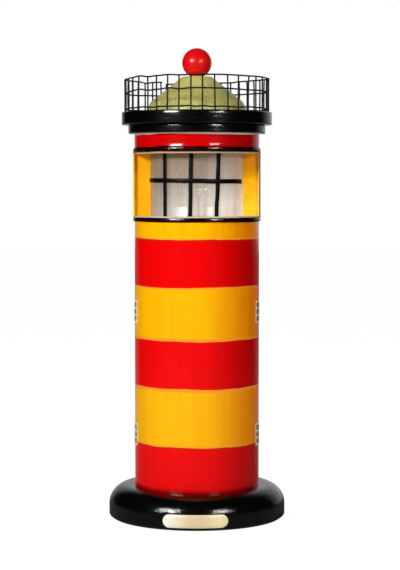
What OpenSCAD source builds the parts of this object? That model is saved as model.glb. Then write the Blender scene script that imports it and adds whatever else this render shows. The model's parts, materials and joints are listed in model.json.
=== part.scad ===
// Lighthouse lamp: a turned base, a striped tower tube, a lantern room with a bulb, and a lift-off roof.
// Millimetres. The origin is the middle of the underside, +Z is up, and the lantern faces -Y.

/* [Base] */
// Radius of the turned base
base_r = 78; // [72:0.5:86]
// Height of the base's flat top above the floor
base_h = 28.5; // [26:0.5:34]
// Radius of the round-over along the top of the rim
base_edge_r = 17; // [12:0.5:18]
// Radius of the small rounding along the foot of the rim
foot_edge_r = 2; // [1:0.25:3]
// Thickness of the wood over the wiring well
deck_t = 12; // [9:0.5:13]
// Radius of the wiring well under the base
well_r = 41; // [39:0.5:42]
// Thickness of the felt ring
felt_t = 1.2; // [0.8:0.1:2]
// Width of the felt ring
felt_w = 22; // [10:0.5:23]

/* [Base cover] */
// Radius of the plate that closes the wiring well
cover_r = 50; // [49:0.25:51]
// Thickness of that plate
cover_t = 2.3; // [1.5:0.1:3]
// How far the plate lies inside the underside of the base
cover_inset = 0.2; // [0:0.1:0.6]
// Number of screws in the cover
cover_screws_n = 4; // [3:1:6]
// Shank radius of a cover screw
cover_screw_r = 1.5; // [1:0.1:1.8]
// Length of a cover screw under its head
cover_screw_l = 9; // [7:0.5:11]
// Height of a cover screw's head
cover_screw_head_h = 1; // [0.8:0.05:1.3]

/* [Cord inlet] */
// Radius of the bore that takes the cord
cord_bore_r = 3.3; // [2.5:0.1:3.6]
// Wall of the rubber grommet
grommet_wall = 1.15; // [0.8:0.05:1.4]
// Radius of the grommet's outer flange
grommet_head_r = 6.6; // [5.6:0.1:7]
// Thickness of the flange
grommet_head_t = 2.3; // [1.5:0.1:3]
// Length of the grommet's sleeve inside the base
grommet_l = 14; // [8:0.5:18]
// Height of the inlet above the floor
inlet_z = 9.7; // [9.2:0.1:10.5]

/* [Wiring] */
// Radius of the inner lead
lead_r = 1.8; // [1.4:0.1:2.2]
// Radius of the lead's bend at the deck
lead_bend = 8; // [6:0.5:9]
// Height over which the lead swings from the wall to the holder
lead_swing = 60; // [40:1:90]
// Length of the terminal block along the cord
terminal_l = 14; // [10:0.5:16]
// Width of the terminal block
terminal_w = 22; // [18:0.5:26]
// Height of the terminal block
terminal_h = 9; // [7:0.5:10]
// How far the lead's lower end lies under the deck
lead_drop = 6; // [4:0.5:7]

/* [Plate] */
// Width of the plate on the rim, seen from the front
plate_w = 57; // [40:0.5:70]
// Height of the plate
plate_h = 11.4; // [8:0.2:12]
// Thickness of the plate
plate_t = 0.8; // [0.4:0.1:1.2]
// Height of the plate's middle above the floor
plate_z = 8.6; // [8:0.1:10]

/* [Tower] */
// Outer radius of the tower tube
tube_r = 55; // [52:0.5:57]
// Wall of the tower tube and of the short tube over the lantern
tube_wall = 3.2; // [2.2:0.1:4]
// Length of the tower tube
tower_h = 235.6; // [180:0.1:320]
// Height of the disc that locates the tube on the base
plug_h = 16; // [12:0.5:24]
// Shank radius of the screws that hold the disc
plug_screw_r = 2; // [1.5:0.1:2.5]
// Length of those screws under the head
plug_screw_l = 24; // [20:0.5:26]
// Distance of those screws from the axis
plug_screw_pcr = 30; // [26:0.5:31]

/* [Side windows] */
// Angle from the front to the middle of a side window
side_angle = 77.5; // [70:0.5:100]
// Height of the lower side windows' middle above the floor
side_low_z = 74.5; // [50:0.5:90]
// Height of the upper side windows' middle above the floor
side_high_z = 182.7; // [120:0.1:190]
// Width of one pane along the wall
pane_w = 4.6; // [3:0.1:12]
// Height of one pane
pane_h = 4.7; // [3:0.1:6]
// Rows of panes
pane_rows = 3; // [2:1:4]
// Columns of panes
pane_columns = 2; // [1:1:3]
// Width of the frame and of the bars between panes
frame_bar = 1.3; // [0.8:0.1:2]
// Thickness of the frames
frame_t = 0.5; // [0.4:0.1:1]
// Thickness of the panes
pane_t = 0.3; // [0.2:0.05:0.4]

/* [Lantern] */
// Height of the room between the lantern's floor and ceiling
window_h = 54.6; // [50:0.1:80]
// Wall of the sleeve round the lantern
shell_t = 1.3; // [1:0.1:2.5]
// Angle from the front to the cut edge on the left
left_cut_angle = 91; // [60:1:100]
// Angle from the front to the cut edge on the right
right_cut_angle = 81; // [60:1:100]
// Height of the black rims above and below the opening
rim_h = 3.6; // [3:0.1:5]
// How far the floor's and the ceiling's edges show past the rims
edge_show = 1; // [0.5:0.1:1.5]
// Thickness of the floor's and the ceiling's flanges
flange_t = 2.5; // [2:0.1:3.5]
// Thickness of the lantern floor in all
floor_t = 10; // [9:0.5:14]
// Thickness of the ceiling's spigot over its flange
ceiling_spigot_h = 4; // [2:0.5:5]
// Radius of the hole in the ceiling that lets a hand reach the bulb
bulb_way_r = 34; // [26:0.5:36]
// Outer radius of the rolled glass
glass_r = 41; // [39:0.2:44]
// Thickness of the glass
glass_t = 1; // [0.6:0.1:1.4]
// Depth of the grooves that hold the glass
glass_groove = 2; // [1:0.1:2.2]
// Angles from the front to the upright glazing bars
bar_angles = [-41.2, -6.2, 26.6];
// Width of an upright bar
bar_w = 3.4; // [2:0.1:5]
// Thickness of the bars
bar_t = 0.6; // [0.4:0.1:1]
// Height of the level bar
band_h = 4; // [2:0.1:6]
// Height of the level bar's middle above the lantern floor
band_z = 30.5; // [15:0.5:42]
// Angle from the lantern's own front to the level bar's ends
band_angle = 75; // [50:1:80]
// Thickness of the two boards that stand between the glass and the sleeve
board_t = 3; // [2:0.5:4]

/* [Lampholder] */
// Outer radius of the threaded skirt
skirt_r = 14; // [13.5:0.1:15]
// Wall of the skirt
skirt_wall = 1.8; // [1.4:0.1:2]
// Length of the skirt
skirt_l = 30; // [28:0.5:36]
// Outer radius of the clamp rings
clamp_r = 21; // [18:0.5:22]
// Thickness of a clamp ring
clamp_t = 3.5; // [2.5:0.1:4]
// Depth of the seat in the floor that takes the upper clamp ring
clamp_seat = 5; // [4:0.1:5.5]
// How far the holder's rim stands over the upper clamp ring
skirt_over = 0.6; // [0.2:0.1:2]
// How far the white core's top lies below the skirt's rim
core_recess = 7; // [5:0.5:9]
// Height of the cap under the skirt
holder_cap_h = 22; // [16:0.5:30]
// Radius of the cable nipple under the cap
nipple_r = 5; // [4.5:0.1:6]
// Length of the nipple
nipple_l = 12; // [8:0.5:16]
// Inner radius of the socket's metal shell
socket_r = 7; // [6.8:0.05:7.2]
// Thickness of that shell
socket_t = 0.6; // [0.4:0.05:0.8]

/* [Bulb] */
// Radius of the round bulb
bulb_r = 22.5; // [20:0.5:23]
// Length of the bulb with its cap
bulb_l = 78; // [76:0.5:80]
// Radius of the bulb's neck
neck_r = 8; // [7.6:0.1:8.2]
// Thickness of the bulb's glass
bulb_wall = 0.8; // [0.5:0.1:1]
// Radius of the hollow curve between neck and globe
neck_blend_r = 9; // [6:0.5:10]
// Radius of the contact at the bulb's foot
tip_r = 2.2; // [1.8:0.1:2.6]
// Radius of the filament's half ring
filament_r = 7; // [4:0.5:9]

/* [Roof] */
// Height of the short tube over the lantern
upper_ring_h = 14.9; // [13:0.1:24]
// Height of the plug that seats the roof in that tube
spigot_h = 8; // [5:0.1:8.4]
// Radius of the lower black disc
cornice_r = 60.4; // [58:0.2:64]
// Thickness of the lower black disc
cornice_t = 7.7; // [5:0.1:12]
// Radius of the upper black disc
gallery_r = 66.2; // [65.5:0.1:74]
// Thickness of the upper black disc
gallery_t = 11.4; // [8:0.1:16]
// Rounding of the discs' edges
disc_edge_r = 1.2; // [0.5:0.1:2]
// Radius of the dome's foot
dome_r = 43.5; // [36:0.1:52]
// Slope of the dome's straight flank
dome_slope_angle = 38.3; // [25:0.1:50]
// Radius of the round-over along the dome's foot
dome_edge_r = 14; // [6:0.5:20]
// Radius of the flat on top of the dome
dome_flat_r = 12.9; // [8:0.1:16]
// Radius of the ball
ball_r = 13; // [10:0.1:16]
// Radius of the flat under the ball
ball_flat_r = 4.6; // [4:0.1:6]
// Radius of the rod through the roof
rod_r = 3; // [2:0.1:3.2]
// How far the rod reaches into the ball
rod_in_ball = 9; // [6:0.5:12]
// Height of the nut under the rod
nut_h = 5; // [4:0.1:6]
// Thickness of the washer over the nut
washer_t = 1.4; // [1:0.1:2]
// Radius of the washer
washer_r = 7; // [6.5:0.1:9]

/* [Railing] */
// Radius of the circle on which the level wires lie
rail_r = 61.9; // [58:0.05:62.5]
// Radius of the railing's wire
rail_wire_r = 0.75; // [0.5:0.05:1]
// Number of upright wires
rail_posts_n = 40; // [20:1:60]
// Height of the top wire over the gallery
rail_top = 29.3; // [20:0.1:45]
// Height of the middle wire over the gallery
rail_middle = 17.8; // [10:0.1:19]
// Height of the bottom wire over the gallery
rail_bottom = 2.7; // [1:0.1:8]
// Depth of the saw groove that holds the railing
rail_groove = 2.5; // [1:0.1:4]

/* [Fits] */
// Gap left for glue between nested pieces
glue_gap = 0.05; // [0.02:0.01:0.1]
// Gap round the roof's plug
lid_gap = 0.3; // [0.2:0.05:0.5]
// Gap round the bulb's cap in its socket
thread_gap = 0.07; // [0.03:0.01:0.09]
// Gap round screws and rods in their clearance holes
screw_gap = 0.2; // [0.1:0.05:0.4]
// Gap round the glass in its grooves
glass_gap = 0.15; // [0.05:0.05:0.3]
// Gap round the lampholder and the edges of the lantern's flanges
panel_gap = 0.3; // [0.1:0.05:0.5]
// Gap between the wires that cross in the railing
weld_gap = 0.02; // [0.01:0.01:0.05]
// Gap between the bulb's contact and the socket's
contact_gap = 0.1; // [0.05:0.05:0.3]

/* [Hidden] */
$fn = 96;

// A cut reaches this far past the face that it opens
over = 1;
// Sides of a wire
wire_sides = 24;

// Base
rim_top = base_h - base_edge_r;
well_top = base_h - deck_t;
cover_z = felt_t + cover_inset;
cover_top = cover_z + cover_t;
cover_screw_pcr = (well_r + cover_r) / 2;
cover_first_screw = 45;
felt_inset = 1;
felt_r = base_r - foot_edge_r - felt_inset;
grommet_r = cord_bore_r + grommet_wall;
grommet_face = base_r + plate_t;
inlet_face = grommet_face - grommet_head_t;
plug_screws_n = 3;
plug_first_screw = -90;

// Inner lead: out of the terminal block, up through the deck, up the tower's back wall, over to the holder
lead_way_r = lead_r + 2.4;
lead_y = well_r - 3;
lead_straight = 4;
lead_z = well_top - lead_drop;
terminal_y = lead_y - lead_bend - lead_straight - terminal_l / 2;
terminal_z = well_top - terminal_h / 2;
terminal_x = terminal_w / 4;
terminal_screw_r = 1.5;
lead_sides = 8;

// Tower and lantern, from the floor up
tube_in = tube_r - tube_wall;
spigot_r = tube_in - glue_gap;
tube_top = base_h + tower_h;
floor_top = tube_top + flange_t;
floor_bottom = floor_top - floor_t;
ceiling_z = floor_top + window_h;
ring_z = ceiling_z + flange_t;
ring_top = ring_z + upper_ring_h;
shell_in = tube_r + glue_gap;
shell_r = shell_in + shell_t;
sill_z = floor_top - edge_show;
lintel_z = ceiling_z + edge_show;
flange_r = shell_in - panel_gap;
glass_in = glass_r - glass_t;
glass_low = floor_top - glass_groove + glass_gap;
glass_high = ceiling_z + glass_groove - glass_gap;
bar_in = glass_r + glue_gap;
lantern_turn = (right_cut_angle - left_cut_angle) / 2;

// Side windows
pane_turn = wall_degrees(pane_w, tube_r);
bar_turn = wall_degrees(frame_bar, tube_r);
grid_turn = pane_columns * pane_turn + (pane_columns - 1) * bar_turn;
grid_h = pane_rows * pane_h + (pane_rows - 1) * frame_bar;

// Lampholder
seat_z = floor_top - clamp_seat;
seat_r = clamp_r + 2;
holder_top = seat_z + clamp_t + skirt_over;
skirt_z = holder_top - skirt_l;
skirt_in = skirt_r - skirt_wall;
core_r = skirt_in - glue_gap;
core_h = skirt_l - core_recess;
core_floor_t = 2;
contact_r = 3;
contact_t = 0.4;
contact_z = skirt_z + core_floor_t;
socket_low = contact_z + 2.5;
socket_top = skirt_z + core_h - 0.5;
nipple_z = skirt_z - holder_cap_h;
nipple_end = nipple_z - nipple_l;
cap_shoulder = 5;
cap_taper_h = 9;
holder_wall = 2.8;
cap_in = skirt_r - holder_wall;

// Bulb, from its contact up
tip_z = contact_z + contact_t + contact_gap;
tip_h = 1.8;
insulator_z = tip_z + 0.6;
insulator_top = tip_z + 3;
insulator_r = tip_r + glue_gap;
rivet_r = tip_r + 1;
cap_metal = 0.4;
cap_thread_r = socket_r - thread_gap;
cap_bevel = 0.6;
cap_flare_z = socket_top + 1;
flare_h = 2;
flare_lip = 3;
flare_in = neck_r + 0.1;
flare_z = cap_flare_z + flare_h;
cap_top = flare_z + flare_lip;
neck_z = flare_z + cap_metal;
bulb_z = tip_z + bulb_l - bulb_r;
neck_end_z = neck_z + 2 * bulb_wall;
neck_room = (pow(bulb_z - neck_end_z, 2) / (bulb_r - neck_r) - bulb_r - neck_r) / 2;
neck_curve_r = min(neck_blend_r, neck_room);
stem_z = neck_z + bulb_wall;
stem_r = 2.2;
stem_disc_h = 1;
stem_disc_r = neck_r - bulb_wall - 0.3;
stem_top = bulb_z - bulb_r / 2;
filament_z = bulb_z - 2;
filament_wire_r = 0.35;
filament_gap = 0.2;
filament_hook_r = 0.6;

// Roof, from the upper ring up
cornice_top = ring_top + cornice_t;
gallery_top = cornice_top + gallery_t;
shoulder_r = dome_r - dome_edge_r * (1 - sin(dome_slope_angle));
shoulder_h = dome_edge_r * cos(dome_slope_angle);
dome_h = shoulder_h + (shoulder_r - dome_flat_r) * tan(dome_slope_angle);
dome_top = gallery_top + dome_h;
ball_z = dome_top + sqrt(ball_r * ball_r - ball_flat_r * ball_flat_r);
spigot_z = ring_top - spigot_h;
pocket_roof = 1;
washer_top = ring_top - pocket_roof;
nut_top = washer_top - washer_t;
nut_z = nut_top - nut_h;
nut_r = 1.9 * rod_r;
nut_pocket_r = washer_r + 1.5;
post_r = rail_r + 2 * rail_wire_r + weld_gap;

// Degrees round the axis of a stretch of wall
function wall_degrees(length, radius) = length / radius * 180 / PI;

// The angle about +Z of a place that lies so many degrees to the right of the front
function from_front(degrees) = degrees - 90;

// A hollow cylinder that stands at height z
module tube_at(z, h, r_out, r_in) {
    translate([0, 0, z])
        difference() {
            cylinder(h = h, r = r_out);
            translate([0, 0, -over]) cylinder(h = h + 2 * over, r = r_in);
        }
}

// A stretch of curved wall from one angle to another
module wall_piece(z, h, r_in, r_out, start_angle, sweep) {
    translate([0, 0, z])
        rotate([0, 0, start_angle])
            rotate_extrude(angle = sweep, start = 0)
                translate([r_in, 0]) square([r_out - r_in, h]);
}

// A disc with both its edges rounded
module eased_disc(z, h, r, edge) {
    translate([0, 0, z])
        rotate_extrude() {
            square([r - edge, h]);
            translate([0, edge]) square([r, h - 2 * edge]);
            translate([r - edge, edge]) circle(r = edge);
            translate([r - edge, h - edge]) circle(r = edge);
        }
}

// A hole on the axis that reaches past both faces
module axis_hole(z, h, r) {
    translate([0, 0, z - over]) cylinder(h = h + 2 * over, r = r);
}

// Places children round the axis
module around(count, radius, first_angle) {
    for (i = [0 : count - 1])
        rotate([0, 0, first_angle + i * 360 / count]) translate([radius, 0, 0]) children();
}

// A slotted screw that points up, with the seat of its head at height 0
module screw(shank_r, length, head_h) {
    head_r = 2 * shank_r;
    slot = head_h / 2;
    cylinder(h = length - shank_r, r = shank_r);
    translate([0, 0, length - shank_r]) cylinder(h = shank_r, r1 = shank_r, r2 = shank_r / 3);
    difference() {
        translate([0, 0, -head_h]) cylinder(h = head_h, r = head_r);
        translate([-head_r - over, -slot / 2, -head_h - over]) cube([2 * (head_r + over), slot, over + slot]);
    }
}

// A straight wire between two points
module wire(a, b, r) {
    along = b - a;
    translate(a)
        rotate([0, acos(along[2] / norm(along)), atan2(along[1], along[0])])
            cylinder(h = norm(along), r = r, $fn = wire_sides);
}

// A round tube along points that lie in the plane x = 0
module bent_tube(points, r, sides) {
    last = len(points) - 1;
    rings = [
        for (i = [0 : last])
            let (
                ahead = points[min(i + 1, last)] - points[max(i - 1, 0)],
                dir = ahead / norm(ahead)
            )
            for (k = [0 : sides - 1])
                let (a = 360 * k / sides)
                points[i] + r * (cos(a) * [1, 0, 0] + sin(a) * [0, -dir[2], dir[1]])
    ];
    side_faces = [
        for (i = [0 : last - 1])
            for (k = [0 : sides - 1])
                let (
                    a = i * sides + k,
                    b = i * sides + (k + 1) % sides
                )
                each [[a, a + sides, b], [b, a + sides, b + sides]]
    ];
    start_face = [for (k = [1 : sides - 2]) [0, k, k + 1]];
    end_face = [for (k = [1 : sides - 2]) [last * sides, last * sides + k + 1, last * sides + k]];
    polyhedron(points = rings, faces = concat(side_faces, start_face, end_face));
}

// The base's turned outline
module base_outline() {
    translate([0, felt_t]) square([base_r - foot_edge_r, rim_top - felt_t]);
    translate([0, felt_t + foot_edge_r]) square([base_r, rim_top - felt_t - foot_edge_r]);
    translate([base_r - foot_edge_r, felt_t + foot_edge_r]) circle(r = foot_edge_r);
    translate([0, rim_top]) {
        square([base_r - base_edge_r, base_edge_r]);
        intersection() {
            translate([base_r - base_edge_r, 0]) circle(r = base_edge_r);
            square([base_r, base_edge_r]);
        }
    }
}

// A hole that runs back from a given distance behind the axis, at the cord's height
module cord_way(from_y, r) {
    translate([0, from_y, inlet_z]) rotate([-90, 0, 0]) cylinder(h = base_r + over - from_y, r = r);
}

module base() {
    color("black")
        difference() {
            rotate_extrude() base_outline();
            axis_hole(felt_t, well_top - felt_t - over, well_r);
            axis_hole(felt_t, cover_top - felt_t - over, cover_r + screw_gap);
            cord_way(well_r / 2, grommet_r + glue_gap);
            cord_way(inlet_face, grommet_head_r + screw_gap);
            translate([0, lead_y, 0]) cylinder(h = base_h + over, r = lead_way_r);
            around(plug_screws_n, plug_screw_pcr, plug_first_screw)
                cylinder(h = base_h + over, r = plug_screw_r + screw_gap);
            around(cover_screws_n, cover_screw_pcr, cover_first_screw)
                cylinder(h = cover_top + cover_screw_l, r = cover_screw_r + glue_gap);
        }
}

module felt_pad() {
    color("darkolivegreen") tube_at(0, felt_t, felt_r, felt_r - felt_w);
}

module base_cover() {
    color("dimgray")
        difference() {
            translate([0, 0, cover_z]) cylinder(h = cover_t, r = cover_r);
            around(cover_screws_n, cover_screw_pcr, cover_first_screw) {
                cylinder(h = well_top, r = cover_screw_r + screw_gap);
                cylinder(h = cover_z + cover_screw_head_h, r = 2 * cover_screw_r + screw_gap);
            }
        }
}

module cover_screws() {
    color("silver")
        around(cover_screws_n, cover_screw_pcr, cover_first_screw)
            translate([0, 0, cover_z + cover_screw_head_h])
                screw(cover_screw_r, cover_screw_l, cover_screw_head_h);
}

module cord_grommet() {
    color("black")
        translate([0, grommet_face, inlet_z]) rotate([90, 0, 0])
            difference() {
                union() {
                    cylinder(h = grommet_head_t, r = grommet_head_r);
                    cylinder(h = grommet_head_t + grommet_l, r = grommet_r);
                }
                translate([0, 0, -over]) cylinder(h = grommet_head_t + grommet_l + 2 * over, r = cord_bore_r);
            }
}

// Places children over the terminal block's four screws
module over_terminals() {
    for (side = [-1, 1])
        for (end = [-1, 1])
            translate([side * terminal_x, terminal_y + end * terminal_l / 4, 0]) children();
}

module terminal_block() {
    wire_way_r = 2;
    color("ivory")
        difference() {
            translate([0, terminal_y, terminal_z]) cube([terminal_w, terminal_l, terminal_h], center = true);
            for (side = [-1, 1])
                translate([side * terminal_x, terminal_y, terminal_z]) rotate([90, 0, 0])
                    cylinder(h = terminal_l + 2 * over, r = wire_way_r, center = true);
            over_terminals()
                cylinder(h = terminal_z, r = terminal_screw_r);
        }
}

module terminal_screws() {
    screw_h = 2;
    slot = 0.5;
    color("goldenrod")
        over_terminals()
            translate([0, 0, well_top - terminal_h + slot])
                difference() {
                    cylinder(h = screw_h, r = terminal_screw_r - glue_gap);
                    translate([-terminal_screw_r, -slot / 2, -over])
                        cube([2 * terminal_screw_r, slot, over + slot]);
                }
}

lead_points = concat(
    [[0, lead_y - lead_bend - lead_straight, lead_z]],
    [
        for (a = [0 : 18 : 90])
            [0, lead_y - lead_bend + lead_bend * sin(a), lead_z + lead_bend - lead_bend * cos(a)]
    ],
    [
        for (t = [0 : 0.125 : 1])
            [0, lead_y * (1 + cos(180 * t)) / 2, nipple_end - lead_straight - lead_swing * (1 - t)]
    ],
    [[0, 0, nipple_z + lead_straight]]
);

module lamp_lead() {
    color("white") bent_tube(lead_points, lead_r, lead_sides);
}

module stadium(width, height) {
    translate([-(width - height) / 2, -height / 2]) square([width - height, height]);
    for (side = [-1, 1])
        translate([side * (width - height) / 2, 0]) circle(r = height / 2);
}

module name_plate() {
    color("khaki")
        intersection() {
            tube_at(0, base_h, base_r + plate_t, base_r + glue_gap);
            translate([0, 0, plate_z]) rotate([90, 0, 0])
                linear_extrude(height = base_r + plate_t + over) stadium(plate_w, plate_h);
        }
}

module tower_plug() {
    color("burlywood")
        difference() {
            translate([0, 0, base_h]) cylinder(h = plug_h, r = spigot_r);
            translate([0, lead_y, base_h - over]) cylinder(h = plug_h + 2 * over, r = lead_way_r);
            around(plug_screws_n, plug_screw_pcr, plug_first_screw)
                translate([0, 0, well_top]) cylinder(h = plug_screw_l + over, r = plug_screw_r + glue_gap);
        }
}

module plug_screws() {
    color("silver")
        around(plug_screws_n, plug_screw_pcr, plug_first_screw)
            translate([0, 0, well_top]) screw(plug_screw_r, plug_screw_l, plug_screw_r);
}

module tower_tube() {
    color("red") tube_at(base_h, tower_h, tube_r, tube_in);
}

// Places children at each of the four side windows
module side_windows() {
    for (side = [-1, 1])
        for (z = [side_low_z, side_high_z])
            translate([0, 0, z]) rotate([0, 0, from_front(side * side_angle)]) children();
}

// The panes of one side window, as curved wall pieces
module pane_grid(r_in, r_out) {
    for (row = [0 : pane_rows - 1])
        for (column = [0 : pane_columns - 1])
            wall_piece(
                row * (pane_h + frame_bar) - grid_h / 2, pane_h, r_in, r_out,
                column * (pane_turn + bar_turn) - grid_turn / 2, pane_turn
            );
}

module window_frames() {
    color("ivory")
        side_windows()
            difference() {
                wall_piece(
                    -grid_h / 2 - frame_bar, grid_h + 2 * frame_bar, tube_r + glue_gap, tube_r + frame_t,
                    -grid_turn / 2 - bar_turn, grid_turn + 2 * bar_turn
                );
                pane_grid(tube_r - over, tube_r + frame_t + over);
            }
}

module window_panes() {
    color("darkslategray") side_windows() pane_grid(tube_r + glue_gap, tube_r + pane_t);
}

// The groove that takes the glass, from one height to another
module glass_slot(z, h) {
    tube_at(z, h, glass_r + glass_gap, glass_in - glass_gap);
}

module lantern_floor() {
    color("wheat")
        difference() {
            union() {
                translate([0, 0, tube_top]) cylinder(h = flange_t, r = flange_r);
                translate([0, 0, floor_bottom]) cylinder(h = floor_t, r = spigot_r);
            }
            axis_hole(floor_bottom, floor_t, skirt_r + panel_gap);
            translate([0, 0, seat_z]) cylinder(h = clamp_seat + over, r = seat_r);
            glass_slot(floor_top - glass_groove, glass_groove + over);
        }
}

module lantern_shell() {
    color("gold")
        difference() {
            tube_at(sill_z - rim_h, lintel_z - sill_z + 2 * rim_h, shell_r, shell_in);
            wall_piece(
                sill_z, lintel_z - sill_z, shell_in - over, shell_r + over,
                from_front(-left_cut_angle), left_cut_angle + right_cut_angle
            );
        }
}

// Flat boards that close the room beside the glass, in line with the tower's axis
module side_boards() {
    color("gold")
        rotate([0, 0, lantern_turn])
            intersection() {
                tube_at(floor_top, window_h, shell_in - glue_gap, glass_r + glass_gap);
                translate([-shell_r, 0, floor_top]) cube([2 * shell_r, board_t, window_h]);
            }
}

module lantern_glass() {
    color("gainsboro", 0.5) tube_at(glass_low, glass_high - glass_low, glass_r, glass_in);
}

module glazing_bars() {
    half_turn = wall_degrees(bar_w, glass_r) / 2;
    color("black")
        for (angle = bar_angles)
            wall_piece(
                floor_top + glass_gap, window_h - 2 * glass_gap, bar_in, bar_in + bar_t,
                from_front(angle) - half_turn, 2 * half_turn
            );
}

module glazing_band() {
    color("black")
        wall_piece(
            floor_top + band_z - band_h / 2, band_h, bar_in + bar_t, bar_in + 2 * bar_t,
            from_front(lantern_turn - band_angle), 2 * band_angle
        );
}

module lantern_ceiling() {
    color("wheat")
        difference() {
            union() {
                translate([0, 0, ceiling_z]) cylinder(h = flange_t, r = flange_r);
                translate([0, 0, ceiling_z]) cylinder(h = flange_t + ceiling_spigot_h, r = spigot_r);
            }
            axis_hole(ceiling_z, flange_t + ceiling_spigot_h, bulb_way_r);
            glass_slot(ceiling_z - over, glass_groove + over);
        }
}

module upper_ring() {
    color("red") tube_at(ring_z, upper_ring_h, tube_r, tube_in);
}

module holder_cap() {
    lead_hole_r = lead_r + screw_gap;
    color("black")
        rotate_extrude()
            polygon([
                [lead_hole_r, nipple_end],
                [nipple_r, nipple_end],
                [nipple_r, nipple_z],
                [skirt_r - cap_shoulder, nipple_z],
                [skirt_r, nipple_z + cap_taper_h],
                [skirt_r, skirt_z],
                [cap_in, skirt_z],
                [cap_in, nipple_z + cap_taper_h],
                [lead_hole_r, nipple_z + cap_taper_h / 3]
            ]);
}

module holder_skirt() {
    color("black") tube_at(skirt_z, skirt_l, skirt_r, skirt_in);
}

module holder_core() {
    color("white")
        difference() {
            translate([0, 0, skirt_z]) cylinder(h = core_h, r = core_r);
            translate([0, 0, contact_z]) cylinder(h = core_h, r = socket_r + socket_t + glue_gap);
        }
}

module holder_rings() {
    color("black")
        for (z = [floor_bottom - clamp_t, seat_z])
            tube_at(z, clamp_t, clamp_r, skirt_r + glue_gap);
}

module socket_shell() {
    color("goldenrod") tube_at(socket_low, socket_top - socket_low, socket_r + socket_t, socket_r);
}

module socket_contact() {
    color("goldenrod") translate([0, 0, contact_z]) cylinder(h = contact_t, r = contact_r);
}

module bulb_contact() {
    color("silver") translate([0, 0, tip_z]) cylinder(h = tip_h, r = tip_r);
}

module bulb_insulator() {
    color("black")
        rotate_extrude()
            polygon([
                [insulator_r, insulator_z],
                [rivet_r, insulator_z],
                [cap_thread_r - cap_bevel, insulator_top],
                [insulator_r, insulator_top]
            ]);
}

module bulb_cap() {
    thread_in = cap_thread_r - cap_metal;
    flare_out = flare_in + cap_metal;
    color("silver")
        rotate_extrude()
            polygon([
                [rivet_r, insulator_top],
                [cap_thread_r - cap_bevel, insulator_top],
                [cap_thread_r, insulator_top + cap_bevel],
                [cap_thread_r, cap_flare_z],
                [flare_out, flare_z],
                [flare_out, cap_top],
                [flare_in, cap_top],
                [flare_in, flare_z],
                [thread_in, cap_flare_z],
                [thread_in, insulator_top + 2 * cap_metal],
                [rivet_r, insulator_top + 2 * cap_metal]
            ]);
}

// Outline of the bulb's glass, drawn in by an inset. The hollow curve touches both neck and globe.
module bulb_outline(inset) {
    blend_x = neck_r + neck_curve_r;
    reach = bulb_r + neck_curve_r;
    blend_z = bulb_z - sqrt(reach * reach - blend_x * blend_x);
    share = (bulb_r - inset) / reach;
    difference() {
        union() {
            translate([0, bulb_z]) circle(r = bulb_r - inset);
            polygon([
                [0, neck_z + inset],
                [neck_r - inset, neck_z + inset],
                [neck_r - inset, blend_z],
                [share * blend_x, bulb_z - share * (bulb_z - blend_z)],
                [0, bulb_z]
            ]);
        }
        translate([blend_x, blend_z]) circle(r = neck_curve_r + inset);
        translate([-2 * bulb_r, 0]) square([2 * bulb_r, 2 * bulb_z]);
    }
}

module bulb_glass() {
    color("whitesmoke", 0.5)
        rotate_extrude()
            difference() {
                bulb_outline(0);
                bulb_outline(bulb_wall);
            }
}

module bulb_stem() {
    color("whitesmoke", 0.5) {
        translate([0, 0, stem_z]) cylinder(h = stem_disc_h, r = stem_disc_r);
        translate([0, 0, stem_z]) cylinder(h = stem_top - stem_z, r = stem_r);
    }
}

module bulb_filament() {
    foot_x = stem_r - 2 * filament_wire_r;
    color("gray") {
        for (side = [-1, 1]) {
            wire(
                [side * foot_x, 0, stem_top + filament_gap],
                [side * filament_r, 0, filament_z],
                filament_wire_r
            );
            translate([side * filament_r, 0, filament_z]) sphere(r = filament_hook_r, $fn = wire_sides);
        }
        translate([0, 0, filament_z])
            rotate_extrude(angle = 180, start = 0)
                translate([filament_r, 0]) circle(r = filament_wire_r, $fn = wire_sides);
    }
}

module cap_spigot() {
    color("burlywood")
        difference() {
            translate([0, 0, spigot_z]) cylinder(h = spigot_h, r = tube_in - lid_gap);
            axis_hole(spigot_z, spigot_h, rod_r + screw_gap);
            translate([0, 0, spigot_z - over]) cylinder(h = washer_top - spigot_z + over, r = nut_pocket_r);
        }
}

module cornice() {
    color("black")
        difference() {
            eased_disc(ring_top, cornice_t, cornice_r, disc_edge_r);
            axis_hole(ring_top, cornice_t, rod_r + screw_gap);
        }
}

module gallery() {
    color("black")
        difference() {
            eased_disc(cornice_top, gallery_t, gallery_r, disc_edge_r);
            axis_hole(cornice_top, gallery_t, rod_r + screw_gap);
            tube_at(
                gallery_top - rail_groove, rail_groove + over,
                post_r + rail_wire_r + screw_gap, post_r - rail_wire_r - screw_gap
            );
        }
}

module railing_rings() {
    color("black")
        for (z = [rail_bottom, rail_middle, rail_top])
            translate([0, 0, gallery_top + z])
                rotate_extrude()
                    translate([rail_r, 0]) circle(r = rail_wire_r, $fn = wire_sides);
}

module railing_posts() {
    color("black")
        around(rail_posts_n, post_r, 0)
            translate([0, 0, gallery_top - rail_groove])
                cylinder(h = rail_top + rail_wire_r + rail_groove, r = rail_wire_r, $fn = wire_sides);
}

// The dome's turned outline: a cone with a round-over along its foot
module dome_outline() {
    translate([dome_r - dome_edge_r, 0])
        intersection() {
            circle(r = dome_edge_r);
            square(dome_edge_r);
        }
    polygon([
        [0, 0],
        [dome_r - dome_edge_r, 0],
        [shoulder_r, shoulder_h],
        [dome_flat_r, dome_h],
        [0, dome_h]
    ]);
}

module dome() {
    color("darkkhaki")
        difference() {
            translate([0, 0, gallery_top]) rotate_extrude() dome_outline();
            axis_hole(gallery_top, dome_h, rod_r + screw_gap);
        }
}

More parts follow.
